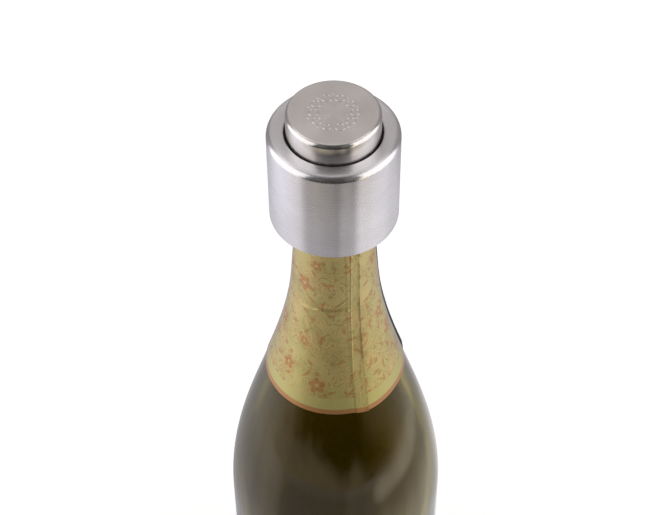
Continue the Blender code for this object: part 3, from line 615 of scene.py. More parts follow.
# %% The button's cap
STAMP_RISE = 0.12 * MM
CAP_WALL = 0.8 * MM
CAP_ROUND = 1.6 * MM
face = cap_high[2] - STAMP_RISE
outline = [(0.0, face)]
outline += arc((BUTTON_RADIUS - CAP_ROUND, face - CAP_ROUND), CAP_ROUND, 90.0, 0.0, 16)
outline += [(BUTTON_RADIUS, cap_low[2]), (BUTTON_RADIUS - CAP_WALL, cap_low[2])]
outline += arc((BUTTON_RADIUS - CAP_ROUND, cap_high[2] - CAP_ROUND), CAP_ROUND - CAP_WALL,
               0.0, 90.0, 4)
outline += [(0.0, cap_high[2] - CAP_WALL)]
cap = turned("button_cap_fine", outline, sides=192)
cap.data.materials.append(cap_steel)
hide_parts("button_cap")
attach(cap, "button")
print("cap faces", len(cap.data.polygons))

# %% [markdown]
# # Bubbles stamped into the button
# A stamp leaves one shape many times on a path, which is work for Geometry Nodes: a circle
# gives the points, each point gets a low dome or an open ring, with a size of its own, and
# the tree ends in real geometry. Both kinds share one recipe, in which the ring's radius, the
# count and the size are named inputs.

# %% A recipe for stamps on a circle
SIZE_SEED = 11
STAMP_INPUTS = (
    ("Ring Radius", "NodeSocketFloat", 7.0 * MM),
    ("Height", "NodeSocketFloat", 0.0),
    ("Count", "NodeSocketInt", 18),
    ("Least Size", "NodeSocketFloat", 0.8),
    ("Greatest Size", "NodeSocketFloat", 1.2),
    ("Stagger", "NodeSocketFloat", 0.0),
    ("Turn", "NodeSocketFloat", 0.0),
    ("Seed", "NodeSocketInt", 3),
    ("Finish", "NodeSocketMaterial", None),
)


def start_recipe(name):
    """An empty tree with its named inputs, and the inputs' identifiers."""
    group = bpy.data.node_groups.new(name, "GeometryNodeTree")
    group.interface.new_socket("Geometry", in_out="OUTPUT", socket_type="NodeSocketGeometry")
    sockets = {}
    for label, kind, value in STAMP_INPUTS:
        socket = group.interface.new_socket(label, in_out="INPUT", socket_type=kind)
        if value is not None:
            socket.default_value = value
        sockets[label] = socket.identifier
    return group, sockets


def stamp_places(group, given):
    """Points on a circle, each moved a little in or out, at the stamps' height."""
    circle = add(group, "GeometryNodeMeshCircle", {"Vertices": given["Count"],
                                                   "Radius": given["Ring Radius"]})
    spin = add(group, "ShaderNodeCombineXYZ", {2: given["Turn"]})
    spun = add(group, "GeometryNodeTransform", {"Geometry": circle.outputs[0],
                                                "Rotation": spin.outputs[0]})
    shift = add(group, "FunctionNodeRandomValue", {"Min": -1.0, "Max": 1.0, "Seed": given["Seed"]},
                data_type="FLOAT")
    position = group.nodes.new("GeometryNodeInputPosition")
    outward = add(group, "ShaderNodeVectorMath", {0: position.outputs[0]}, operation="NORMALIZE")
    amount = times(group, shift.outputs["Value"], given["Stagger"])
    moved = add(group, "ShaderNodeVectorMath", {0: outward.outputs[0], "Scale": amount},
                operation="SCALE")
    up = add(group, "ShaderNodeCombineXYZ", {2: given["Height"]})
    offset = add(group, "ShaderNodeVectorMath", {0: moved.outputs[0], 1: up.outputs[0]},
                 operation="ADD")
    return add(group, "GeometryNodeSetPosition", {"Geometry": spun.outputs[0],
                                                  "Offset": offset.outputs[0]}).outputs[0]


def stamp_recipe(name, make_stamp):
    """A tree that sets stamps on a circle, each with a size of its own."""
    group, sockets = start_recipe(name)
    given = group.nodes.new("NodeGroupInput").outputs
    places = stamp_places(group, given)
    size = add(group, "FunctionNodeRandomValue", {"Min": given["Least Size"],
                                                  "Max": given["Greatest Size"],
                                                  "Seed": SIZE_SEED}, data_type="FLOAT")
    flat_size = add(group, "ShaderNodeCombineXYZ", {0: size.outputs["Value"],
                                                    1: size.outputs["Value"], 2: 1.0})
    stamps = add(group, "GeometryNodeInstanceOnPoints", {"Points": places,
                                                         "Instance": make_stamp(group),
                                                         "Scale": flat_size.outputs[0]})
    real = add(group, "GeometryNodeRealizeInstances", {"Geometry": stamps.outputs[0]})
    finished = add(group, "GeometryNodeSetMaterial", {"Geometry": real.outputs[0],
                                                      "Material": given["Finish"]})
    result = group.nodes.new("NodeGroupOutput")
    group.links.new(finished.outputs[0], result.inputs[0])
    return group, sockets


def grow(name, recipe, values):
    """Run a recipe with its values on an empty mesh, and return the result as a plain mesh."""
    group, sockets = recipe
    carrier = bpy.data.objects.new(name + "_seed", bpy.data.meshes.new(name + "_seed"))
    bpy.context.scene.collection.objects.link(carrier)
    modifier = carrier.modifiers.new("grow", "NODES")
    modifier.node_group = group
    for label, value in values.items():
        modifier[sockets[label]] = value
    bpy.context.view_layer.update()
    evaluated = carrier.evaluated_get(bpy.context.evaluated_depsgraph_get())
    mesh = bpy.data.meshes.new_from_object(evaluated)
    mesh.name = name
    bpy.data.objects.remove(carrier, do_unlink=True)
    return mesh


# %% Two kinds of stamp
def sunk(make_form, half_width, rise, depth):
    """A flattened form, sunk so that only its top stands above the face."""
    def make(group):
        sink = depth - rise
        reach = half_width / math.sqrt(1.0 - (sink / depth) ** 2)
        placed = add(group, "GeometryNodeTransform", {"Geometry": make_form(group, reach),
                                                      "Translation": (0.0, 0.0, -sink),
                                                      "Scale": (1.0, 1.0, depth / reach)})
        return placed.outputs[0]
    return make


def dome_stamp(half_width, rise, depth=0.40 * MM, sides=24):
    """A low dome: the top of a ball."""
    def ball(group, reach):
        return add(group, "GeometryNodeMeshUVSphere", {"Segments": sides, "Rings": sides // 2,
                                                       "Radius": reach}).outputs[0]
    return sunk(ball, half_width, rise, depth)


def ring_stamp(radius, half_width, rise, depth=0.30 * MM, sides=24):
    """An open ring: the top of a ring of wire."""
    def wire_ring(group, reach):
        path = add(group, "GeometryNodeCurvePrimitiveCircle", {"Resolution": 32, "Radius": radius})
        section = add(group, "GeometryNodeCurvePrimitiveCircle", {"Resolution": sides,
                                                                  "Radius": reach})
        return add(group, "GeometryNodeCurveToMesh", {"Curve": path.outputs[0],
                                                      "Profile Curve": section.outputs[0]}).outputs[0]
    return sunk(wire_ring, half_width, rise, depth)


# %% The ring of bubbles
BUBBLES = 10
HALF_STEP = math.pi / BUBBLES
OPEN_RADIUS = 1.50 * MM
OPEN_HALF_WIDTH = 0.34 * MM
DOME_HALF_WIDTH = 0.62 * MM


def join(name, meshes):
    """One mesh from several."""
    form = bmesh.new()
    for mesh in meshes:
        form.from_mesh(mesh)
    for facet in form.faces:
        facet.material_index = 0
    joined = bpy.data.meshes.new(name)
    joined.materials.append([finish for finish in meshes[0].materials if finish][0])
    form.to_mesh(joined)
    form.free()
    return joined


def bubble_row(name, recipe, radius, least, greatest, stagger, turn, seed):
    """One row of bubbles round the middle of the button."""
    return grow(name, recipe, {
        "Ring Radius": radius, "Height": face, "Count": BUBBLES, "Least Size": least,
        "Greatest Size": greatest, "Stagger": stagger, "Turn": turn, "Seed": seed,
        "Finish": cap_steel})


rings = stamp_recipe("stamped_rings", ring_stamp(OPEN_RADIUS, OPEN_HALF_WIDTH, STAMP_RISE))
domes = stamp_recipe("stamped_domes", dome_stamp(DOME_HALF_WIDTH, STAMP_RISE))
open_bubbles = bubble_row("open_bubbles", rings, radius=7.0 * MM, least=0.80, greatest=1.12,
                          stagger=0.35 * MM, turn=0.0, seed=3)
full_bubbles = bubble_row("full_bubbles", domes, radius=8.7 * MM, least=0.70, greatest=1.15,
                          stagger=0.2 * MM, turn=HALF_STEP, seed=8)
small_bubbles = bubble_row("small_bubbles", domes, radius=5.1 * MM, least=0.45, greatest=0.80,
                           stagger=0.15 * MM, turn=HALF_STEP, seed=21)
stamped = link("stamped_bubbles", join("stamped_bubbles", [open_bubbles, full_bubbles, small_bubbles]))
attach(stamped, "button")
print("stamped ring", len(stamped.data.polygons), "faces")


# %% [markdown]
# # Olive glass
# Bottle glass is tinted through its thickness. Here the wall is really modelled, with its
# inside, and the shader tints light each time that it enters or leaves, so that two walls in
# line are nearly black and one wall is olive. Light that grazes the side runs a long way in
# the wall, so there the tint gets deeper. Moulded glass is never quite even: a broad, weak
# bump makes reflections wander, and a few rubs break up the gloss.

# %% Glass
DEEP_TINT = (0.166, 0.131, 0.008)
PALE_TINT = (0.186, 0.147, 0.010)
GLOSS_TINT = (1.0, 0.93, 0.86, 1.0)
GLASS_IOR = 1.52
# These angles set painted light that makes the glass lighter at its left and right sides, and painted
# shade at its left.
LEFT_GLASS = (-50.0, -20.0)
LEFT_GLASS_REAR = (-125.0, -95.0)
LEFT_GRAZING = (-60.0, 0.0)
RIGHT_GLASS = (10.0, 52.0)
RIGHT_GLASS_REAR = (95.0, 125.0)


def tint_depth_and_painted_light(tree, place):
    """How much tint passes: less at a grazing view, with painted light on the sides and painted shade
    at the left.
    """
    azimuth = azimuth_at(tree, place)
    left_front = ramp(tree, azimuth, *LEFT_GLASS_REAR)
    # Painted light: the tint is lighter towards the left and right sides, and thin is 1 plus this
    # painted light.
    painted_light_left = times(tree, ramp(tree, azimuth, *LEFT_GLASS, 0.80, 0.0), left_front)
    painted_light_right = times(tree, ramp(tree, azimuth, *RIGHT_GLASS, 0.0, 1.2),
                       ramp(tree, azimuth, *RIGHT_GLASS_REAR, 1.0, 0.0))
    thin = calc(tree, "ADD", 1.0, calc(tree, "ADD", painted_light_left, painted_light_right))
    # Painted shade: the left of the glass is darker at a grazing view.
    painted_left_shade = times(tree, ramp(tree, azimuth, *LEFT_GRAZING, 0.08, 0.0), left_front)
    facing = add(tree, "ShaderNodeLayerWeight", {"Blend": 0.5}).outputs["Facing"]
    grazing = calc(tree, "ADD", facing, painted_left_shade)
    return times(tree, thin, ramp(tree, grazing, 0.52, 0.80, 1.0, 0.10))


def olive_glass():
    """Clear olive glass, slightly uneven, with a few rubs."""
    material, tree, shader = start_material("olive_bottle_glass")
    place = object_place(tree)
    wander = clouds(tree, place, 34.0, 1.5)
    stretched = add(tree, "ShaderNodeMapping", {"Vector": place, "Scale": (1.0, 1.0, 0.25)})
    draw = clouds(tree, stretched.outputs[0], 60.0, 1.0)
    rubs = clouds(tree, place, 120.0, 6.0, Roughness=0.7)
    tint = blend(tree, ramp(tree, wander, 0.35, 0.65), DEEP_TINT, PALE_TINT)
    tint = add(tree, "ShaderNodeVectorMath", {0: tint, "Scale": tint_depth_and_painted_light(tree, place)},
               operation="SCALE").outputs[0]
    tree.links.new(tint, shader.inputs["Base Color"])
    haze = ramp(tree, rubs, 0.60, 0.75, 0.03, 0.16)
    tree.links.new(haze, shader.inputs["Roughness"])
    shader.inputs["Transmission Weight"].default_value = 1.0
    shader.inputs["IOR"].default_value = GLASS_IOR
    shader.inputs["Specular Tint"].default_value = GLOSS_TINT
    bump(tree, shader, calc(tree, "ADD", wander, times(tree, draw, 0.5)), 0.35, 0.6 * MM)
    return material


glass = olive_glass()
print("glass", len(glass.node_tree.nodes), "nodes")

# %% [markdown]
# # The bottle
# The outside runs from the punt over the standing ring, up the straight body, along one
# smooth curve for shoulder and neck, over the ring that the stopper grips and the lip, and
# down the inside. It is the model's own outline with many more steps, and its foot sits a
# little higher, to leave room for the pips that it stands on.

# %% The bottle's outline
HEEL_ROUND = 7.0 * MM
PUNT_RADIUS = 31.0 * MM
PUNT_HEIGHT = 32.0 * MM
PUNT_WALL = 7.5 * MM
PUNT_STEPS = 16
BODY_WALL = 4.9 * MM
BODY_STEPS = 12
NECK_WALL = 4.2 * MM
NECK_STEPS = 8
FLOOR_ROUND = 10.0 * MM
BORE_RADIUS = 9.0 * MM
LIP_RADIUS = 14.3 * MM
LIP_ROUND = 2.2 * MM
LIP_FOOT_ROUND = 0.8 * MM
MOUTH_ROUND = 0.6 * MM
RECESS_RADIUS = 13.3 * MM
RECESS_HEIGHT = 2.5 * MM
RECESS_ROUND = 0.5 * MM
RING_RADIUS = 16.0 * MM
RING_HEIGHT = 7.0 * MM
RING_ROUND = 1.0 * MM
STAND = 0.35 * MM
STAND_ROUND = 0.8 * MM


def glass_side(steps):
    """The outside from the top of the straight body to the ring, going up."""
    rise = NECK_FOOT - BODY_TOP
    taper = (NECK_FOOT_RADIUS - NECK_TOP_RADIUS) / (RING_UNDERSIDE - NECK_FOOT)
    sweep = SWEEP_PULL_SHARE * rise
    side = bezier((BODY_RADIUS, BODY_TOP), (BODY_RADIUS, BODY_TOP + SHOULDER_PULL_SHARE * rise),
                  (NECK_FOOT_RADIUS + taper * sweep, NECK_FOOT - sweep),
                  (NECK_FOOT_RADIUS, NECK_FOOT), steps)
    for step in range(1, NECK_STEPS + 1):
        share = step / NECK_STEPS
        side.append((NECK_FOOT_RADIUS + share * (NECK_TOP_RADIUS - NECK_FOOT_RADIUS),
                     NECK_FOOT + share * (RING_UNDERSIDE - NECK_FOOT)))
    return side


def punt_side(reach, top):
    """The hollow under the bottle, as a quarter wave from the middle outwards."""
    points = [(0.0, top + PUNT_HEIGHT)]
    for step in range(1, PUNT_STEPS):
        share = step / PUNT_STEPS
        points.append((reach * share, top + PUNT_HEIGHT * math.cos(math.radians(90.0) * share)))
    return points


def outside():
    """From the middle of the punt, over the standing ring, up to the mouth."""
    points = punt_side(PUNT_RADIUS, 0.0)
    points += arc((PUNT_RADIUS + STAND_ROUND, STAND + STAND_ROUND), STAND_ROUND, 200.0, 270.0, 4)
    points += arc((BODY_RADIUS - HEEL_ROUND, STAND + HEEL_ROUND), HEEL_ROUND, -90.0, 0.0, 12)
    for step in range(1, BODY_STEPS):
        rise = (BODY_TOP - HEEL_ROUND) * step / BODY_STEPS
        points.append((BODY_RADIUS, HEEL_ROUND + rise))
    points += glass_side(56)
    ring_low = RING_UNDERSIDE + RING_ROUND
    ring_top = RING_UNDERSIDE + RING_HEIGHT
    lip_low = ring_top + RECESS_HEIGHT
    points += arc((RING_RADIUS - RING_ROUND, ring_low), RING_ROUND, -90.0, 0.0, 6)
    points += arc((RING_RADIUS - RING_ROUND, ring_top - RING_ROUND), RING_ROUND, 0.0, 90.0, 6)
    points += arc((RECESS_RADIUS + RECESS_ROUND, ring_top + RECESS_ROUND), RECESS_ROUND,
                  270.0, 180.0, 4)
    points += arc((LIP_RADIUS - LIP_FOOT_ROUND, lip_low + LIP_FOOT_ROUND), LIP_FOOT_ROUND,
                  -90.0, 0.0, 5)
    points += arc((LIP_RADIUS - LIP_ROUND, MOUTH - LIP_ROUND), LIP_ROUND, 0.0, 90.0, 9)
    points += arc((BORE_RADIUS + MOUTH_ROUND, MOUTH - MOUTH_ROUND), MOUTH_ROUND, 90.0, 180.0, 5)
    return points


def inside():
    """From the bore down the neck, the shoulder and the body to the middle of the floor."""
    inner_body = BODY_RADIUS - BODY_WALL
    inner_foot = NECK_FOOT_RADIUS - NECK_WALL
    rise = NECK_FOOT - BODY_TOP
    points = [(BORE_RADIUS, RING_UNDERSIDE)]
    points += bezier((inner_foot, NECK_FOOT), (inner_foot, NECK_FOOT - SWEEP_PULL_SHARE * rise),
                     (inner_body, BODY_TOP + SHOULDER_PULL_SHARE * rise), (inner_body, BODY_TOP), 40)
    reach = inner_body - FLOOR_ROUND
    points += arc((reach, PUNT_WALL + FLOOR_ROUND), FLOOR_ROUND, 0.0, -90.0, 10)
    return points + punt_side(reach, PUNT_WALL)[::-1]


# %% The bottle
bottle = turned("bottle_fine", outside() + inside(), sides=144, sharp=50.0)
bottle.data.materials.append(glass)
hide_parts("bottle")
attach(bottle, "bottle")
print("bottle faces", len(bottle.data.polygons))

# %% [markdown]
# # Stipples under the bottle
# A bottle stands on a ring of tiny moulded pips, which keep the hot glass off the belt.
# They repeat round a circle, so the recipe for the stamps makes them too.

# %% Stipples on the standing ring
PIP_HALF_WIDTH = 0.75 * MM
PIP_RISE = 0.35 * MM
PIP_DEPTH = 0.36 * MM
PIP_HEIGHT = 0.38 * MM
PIPS = 72
PIP_ROWS = (33.4 * MM, 35.6 * MM)
pips = stamp_recipe("standing_pips", dome_stamp(PIP_HALF_WIDTH, PIP_RISE, PIP_DEPTH, sides=12))
rows = []
for number, radius in enumerate(PIP_ROWS):
    rows.append(grow(f"pips_{number}", pips, {
        "Ring Radius": radius, "Height": PIP_HEIGHT, "Count": PIPS, "Least Size": 0.9,
        "Greatest Size": 1.0, "Stagger": 0.0, "Seed": number, "Finish": glass}))
stipples = link("standing_stipples", join("standing_stipples", rows))
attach(stipples, "bottle")
print("stipples", PIPS * len(PIP_ROWS))


# %% [markdown]
# # The neck foil
# The foil is one fan-shaped sheet, wrapped round the neck and lapped at the front right. It
# is thin and was smoothed down by hand, so it shows what happens to such a sheet: the lap
# springs up at its edge, the edge of a hidden fold shows through beside it, and a crease
# runs across the front where the shoulder starts. The sheet is a grid of rows and columns,
# and each of these is a small lift added to its radius.

# %% Where the foil lies
FOIL_FIT = 0.2 * MM
FOIL_THICKNESS = 0.2 * MM
LAP_EDGE_BOTTOM = math.radians(27.5)
LAP_EDGE_TOP = math.radians(38.0)
side_points = glass_side(400)


def radius_at(height):
    """The outside radius of the shoulder or neck at a height."""
    if height <= BODY_TOP:
        return BODY_RADIUS
    for (low_radius, low), (high_radius, high) in zip(side_points, side_points[1:]):
        if height <= high:
            share = (height - low) / (high - low)
            return low_radius + share * (high_radius - low_radius)
    return NECK_TOP_RADIUS


def lap_edge(height):
    """The angle of the lapped sheet's outer edge."""
    share = (height - FOIL_BOTTOM) / (FOIL_TOP - FOIL_BOTTOM)
    return LAP_EDGE_BOTTOM + share * (LAP_EDGE_TOP - LAP_EDGE_BOTTOM)


def hump(value, middle, width):
    """A smooth hump of height 1."""
    return math.exp(-((value - middle) / width) ** 2)


def step_up(value, start, end):
    """A smooth step from 0 to 1."""
    share = min(1.0, max(0.0, (value - start) / (end - start)))
    return share * share * (3.0 - 2.0 * share)


# %% The lap and the hidden fold
FOLD_LOW = 0.2220
FOLD_HIGH = 0.2705
FOLD_START = (0.200, 0.224)
FOLD_ANGLE_LOW = 19.0
FOLD_ANGLE_GAIN = 5.0
FOLD_RISE = 0.20 * MM
FOLD_WIDTH = 0.25 * MM
LAP_REACH = (4.6 * MM, 5.6 * MM)
SPRUNG_STRIP = 2.6 * MM
LAP_SPRING = 0.26 * MM
LAP_SPRING_HIGHER = 0.06 * MM
LAP_WAVE = 0.05 * MM
LAP_WAVE_PACE = 900.0


def fold_angle(height):
    """The angle of the hidden fold's edge, left of the lap."""
    share = (height - FOLD_LOW) / (FOLD_HIGH - FOLD_LOW)
    return math.radians(FOLD_ANGLE_LOW + FOLD_ANGLE_GAIN * share)


def lap_lift(angle, height, radius):
    """The outer layer at the lap, and the hidden fold beside it."""
    before_edge = (lap_edge(height) - angle) * radius
    from_fold = (angle - fold_angle(height)) * radius
    upper = step_up(height, *FOLD_START)
    lift = upper * FOLD_RISE * hump(from_fold, 0.0, FOLD_WIDTH)
    if before_edge < 0.0:
        return lift
    lift += FOIL_THICKNESS * (1.0 - step_up(before_edge, *LAP_REACH))
    spring = max(0.0, 1.0 - before_edge / SPRUNG_STRIP)
    lift += (LAP_SPRING + LAP_SPRING_HIGHER * upper) * spring ** 2
    lift += LAP_WAVE * math.sin(height * LAP_WAVE_PACE) * spring
    return lift


# %% The crease across the front
CREASE_HEIGHT = 0.2398
CREASE_SPAN = (-75.0, 45.0)
CREASE_FADE_LEFT = (-50.0, -42.0)
CREASE_FADE_RIGHT = (17.0, 21.0)
CREASE_RISE = 0.44 * MM
CREASE_BELOW = 0.26 * MM
CREASE_ABOVE = 0.80 * MM
CREASE_WANDER = 0.5 * MM
CREASE_END = 1.0 * MM
WANDER_PACE = 0.06
UNEVEN_PACE = 0.16
CREASE_FALL = 0.055 * MM
CREASE_FALL_START = -20.0
SHORT_WIDTH = 0.24 * MM
SHORT_CREASES = (
    ((-17.0, 0.2405), (-6.0, 0.2362), 0.26 * MM),
    ((-34.0, 0.2388), (-20.0, 0.2402), 0.20 * MM),
    ((3.0, 0.2420), (15.0, 0.2452), 0.20 * MM),
    ((-26.0, 0.2418), (-10.0, 0.2436), 0.14 * MM),
    ((-44.0, 0.2362), (-36.0, 0.2392), 0.16 * MM),
)


def short_crease(angle, height, start, end, width):
    """A short straight crease between two points, given in degrees and metres."""
    radius = radius_at(height)
    across = (math.degrees(angle) - start[0]) * math.radians(1.0) * radius
    up = height - start[1]
    run = ((end[0] - start[0]) * math.radians(1.0) * radius, end[1] - start[1])
    length = math.hypot(*run)
    along = (across * run[0] + up * run[1]) / length
    aside = (across * run[1] - up * run[0]) / length
    begun = step_up(along, -CREASE_END, CREASE_END)
    ended = step_up(along, length - CREASE_END, length + CREASE_END)
    reach = begun * (1.0 - ended)
    return reach * hump(aside, 0.0, width)


def crease_lift(angle, height):
    """The crease across the front, where the sheet was pushed over itself."""
    across = math.degrees(angle)
    if not CREASE_SPAN[0] < across < CREASE_SPAN[1]:
        return 0.0
    wander = noise.noise(Vector((across * WANDER_PACE, 0.0, 3.0)))
    fall = CREASE_FALL * max(0.0, CREASE_FALL_START - across)
    above = height - (CREASE_HEIGHT + CREASE_WANDER * wander - fall)
    reach = step_up(across, *CREASE_FADE_LEFT) * (1.0 - step_up(across, *CREASE_FADE_RIGHT))
    uneven = 0.85 + 0.35 * noise.noise(Vector((across * UNEVEN_PACE, 1.0, 3.0)))
    sharp = hump(above, 0.0, CREASE_BELOW if above < 0.0 else CREASE_ABOVE)
    lift = reach * uneven * CREASE_RISE * sharp
    for start, end, rise in SHORT_CREASES:
        lift += rise * short_crease(angle, height, start, end, SHORT_WIDTH)
    return lift


# %% The hanging corner, and all lifts together
DROOP = 1.0 * MM
DROOP_RUN = 10.0 * MM
DROOP_START = 10.0
DROOP_MIDDLE = 27.5
DROOP_END = 62.0
SMOOTH_TOP = (0.2705, 0.2765)
BROAD_RIPPLE = 0.07 * MM
BROAD_PACE = 130.0
FINE_RIPPLE = 0.035 * MM
FINE_PACE = 420.0


def corner_droop(angle, height):
    """How far the lower edge hangs down at the lap's corner, less and less higher up."""
    across = math.degrees(angle)
    hanging = step_up(across, DROOP_START, DROOP_MIDDLE)
    hanging *= 1.0 - step_up(across, DROOP_MIDDLE, DROOP_END)
    return DROOP * hanging * (1.0 - step_up(height, FOIL_BOTTOM, FOIL_BOTTOM + DROOP_RUN))


def lift_at(angle, height):
    """How far the sheet stands off the glass, beyond its fit and thickness."""
    radius = radius_at(height)
    spot = Vector((math.sin(angle) * radius, math.cos(angle) * radius, height))
    lift = BROAD_RIPPLE * (0.5 + 0.5 * noise.noise(spot * BROAD_PACE))
    lift += FINE_RIPPLE * (0.5 + 0.5 * noise.noise(spot * FINE_PACE))
    lift += lap_lift(angle, height, radius) + crease_lift(angle, height)
    return max(0.0, lift * (1.0 - step_up(height, *SMOOTH_TOP)))


# %% The foil's rows and columns
FINE_ROW = 0.20 * MM
PLAIN_ROW = 0.56 * MM
FINE_BELOW = 4.5 * MM
FINE_ABOVE = 6.0 * MM
FOIL_COLUMNS = 250
FINE_COLUMNS = 60
FINE_STRIP = 8.0 * MM
LAP_STEP = 0.12 * MM
FAN_SHARE = 0.16


def foil_heights():
    """Row heights, closer together across the crease."""
    rows = [FOIL_BOTTOM]
    while rows[-1] < FOIL_TOP - PLAIN_ROW:
        near = CREASE_HEIGHT - FINE_BELOW < rows[-1] < CREASE_HEIGHT + FINE_ABOVE
        rows.append(rows[-1] + (FINE_ROW if near else PLAIN_ROW))
    return rows + [FOIL_TOP]


def column_angles(height):
    """The columns' angles, closer together at the lap and the fold than elsewhere."""
    radius = radius_at(height)
    start = lap_edge(height) + LAP_STEP / radius
    fine = FINE_STRIP / radius
    coarse = FOIL_COLUMNS - FINE_COLUMNS
    span = math.tau - fine - LAP_STEP / radius
    angles = [start + span * number / coarse for number in range(coarse)]
    last = lap_edge(height) + math.tau - fine
    return angles + [last + fine * number / FINE_COLUMNS for number in range(FINE_COLUMNS + 1)]


heights = foil_heights()
slants = [0.0]
for low, high in zip(heights, heights[1:]):
    slants.append(slants[-1] + math.hypot(radius_at(high) - radius_at(low), high - low))
FAN_LOW = radius_at(FOIL_TOP) / FAN_SHARE + slants[-1]
print("foil rows", len(heights), "down a slope of", round(slants[-1] / MM, 1), "mm")


# %% The foil's sheet
EDGE_TURN = 0.35 * MM


def fan_point(angle_past_edge, slant):
    """Where a point of the sheet lies when the fan is rolled out flat."""
    turn_of = FAN_SHARE * (angle_past_edge - math.pi)
    reach = FAN_LOW - slant
    return (reach * math.sin(turn_of), reach * math.cos(turn_of))


def sheet_points():
    """The sheet's points, row by row, and their places on the fan; the edges are turned in."""
    verts, maps = [], []
    last_row = len(heights) - 1
    for row in range(-1, last_row + 2):
        turned_in = row < 0 or row > last_row
        own = min(last_row, max(0, row))
        height = heights[own]
        radius = radius_at(height) + FOIL_FIT + FOIL_THICKNESS
        for angle in column_angles(height):
            wrapped = (angle + math.pi) % math.tau - math.pi
            droop = corner_droop(wrapped, height)
            reach = radius + (radius_at(height - droop) - radius_at(height) if droop else 0.0)
            reach += -EDGE_TURN if turned_in else lift_at(wrapped, height)
            verts.append(around(angle, reach, height - droop))
            maps.append(fan_point(angle - lap_edge(height), slants[own]))
    return verts, maps


def make_foil():
    """The wrapped sheet as a mesh, closed at the lap, with its fan map."""
    verts, maps = sheet_points()
    columns = FOIL_COLUMNS + 1
    faces = []
    for row in range(len(heights) + 1):
        for column in range(columns):
            after = (column + 1) % columns
            faces.append((row * columns + column, row * columns + after,
                          (row + 1) * columns + after, (row + 1) * columns + column))
    mesh = bpy.data.meshes.new("neck_foil_fine")
    mesh.from_pydata(verts, [], faces)
    layer = mesh.uv_layers.new(name="fan")
    for polygon in mesh.polygons:
        at_lap = {index % columns for index in polygon.vertices} == {0, columns - 1}
        for corner in polygon.loop_indices:
            index = mesh.loops[corner].vertex_index
            if at_lap and index % columns == 0:
                index += columns - 1
            layer.data[corner].uv = maps[index]
    return mesh


foil_mesh = make_foil()
print("foil faces", len(foil_mesh.polygons))

# %% [markdown]
# # Printed gold foil
# The foil is a satin gold paper with an orange print: an orange border at its lower edge, a
# plain band above it, and over the rest a dense pattern of flowers, leaves and thin scroll
# lines. All are made from the sheet's own fan map, in metres, so the print lies flat on the
# sheet as ink does. Flowers and leaves come from Voronoi cells: each cell gives a middle, a
# random turn and a random size, and a formula in the angle round that middle cuts the
# petals. The scroll lines are the contour lines of a smooth noise: where the noise is steep
# they are hairlines, and where it is level they swell into blots, as brush work does.

# %% Cells and soft ink
SOFT_INK = 0.07 * MM


def moved(tree, place, across, along=0.0):
    """A place moved on the map."""
    return add(tree, "ShaderNodeVectorMath", {0: place, 1: (across, along, 0.0)},
               operation="ADD").outputs[0]


def cell_frame(tree, place, size, shift, randomness):
    """A place seen from its cell's middle, turned by chance, and two random numbers."""
    shifted = moved(tree, place, shift, 0.7 * shift)
    cells = add(tree, "ShaderNodeTexVoronoi", {"Vector": shifted, "Scale": 1.0 / size,
                                               "Randomness": randomness},
                voronoi_dimensions="2D", feature="F1")
    away = add(tree, "ShaderNodeVectorMath", {0: shifted, 1: cells.outputs["Position"]},
               operation="SUBTRACT").outputs[0]
    chance = add(tree, "ShaderNodeSeparateColor", {0: cells.outputs["Color"]}).outputs
    spun = add(tree, "ShaderNodeVectorRotate", {"Vector": away,
                                                "Angle": times(tree, chance[0], math.tau)},
               rotation_type="Z_AXIS").outputs[0]
    return spun, chance[1], chance[2]


def under(tree, value, limit, soft=SOFT_INK):
    """1 where a value is under a limit, with an edge as soft as ink on foil."""
    gap = calc(tree, "SUBTRACT", limit, value)
    return calc(tree, "MULTIPLY_ADD", gap, 1.0 / (2.0 * soft), 0.5, clamp=True)


def off_by(tree, value, target):
    """How far a value is from a target."""
    return calc(tree, "ABSOLUTE", calc(tree, "SUBTRACT", value, target))


def any_of(tree, total, *inks):
    """Ink wherever one of the motifs has ink."""
    for ink in inks:
        total = calc(tree, "MAXIMUM", total, ink)
    return total


# %% Motifs for the print
HEART_SHARE = 0.22
INNER_LINE_SHARE = 1.30
OUTER_LINE_SHARE = 1.62
OUTLINE_WIDTH = 0.13 * MM
LEAF_BEND = 75.0
LEAF_TRIM = 0.08 * MM
RIB_WIDTH = 0.07 * MM
RIB_SOFT = 0.05 * MM


def flowers(tree, place, size, shift, petals, least, most, share):
    """Flowers with a pale middle, as filled ink, and two thin lines round each."""
    spot, chance, size_chance = cell_frame(tree, place, size, shift, 0.6)
    across, along = parts_of(tree, spot)[:2]
    distance = length_of(tree, spot)
    angle = calc(tree, "ARCTAN2", along, across)
    reach = calc(tree, "MULTIPLY_ADD", size_chance, most - least, least)
    wave = calc(tree, "ABSOLUTE", calc(tree, "COSINE", times(tree, angle, petals / 2.0)))
    petal = times(tree, reach, calc(tree, "MULTIPLY_ADD", wave, 0.5, 0.5))
    filled = under(tree, distance, petal)
    heart = under(tree, distance, times(tree, reach, HEART_SHARE))
    lines = []
    for line_share in (INNER_LINE_SHARE, OUTER_LINE_SHARE):
        off = off_by(tree, distance, times(tree, petal, line_share))
        lines.append(under(tree, off, OUTLINE_WIDTH))
    kept = calc(tree, "LESS_THAN", chance, share)
    fill = times(tree, calc(tree, "SUBTRACT", filled, heart, clamp=True), kept)
    return fill, times(tree, any_of(tree, *lines), kept)


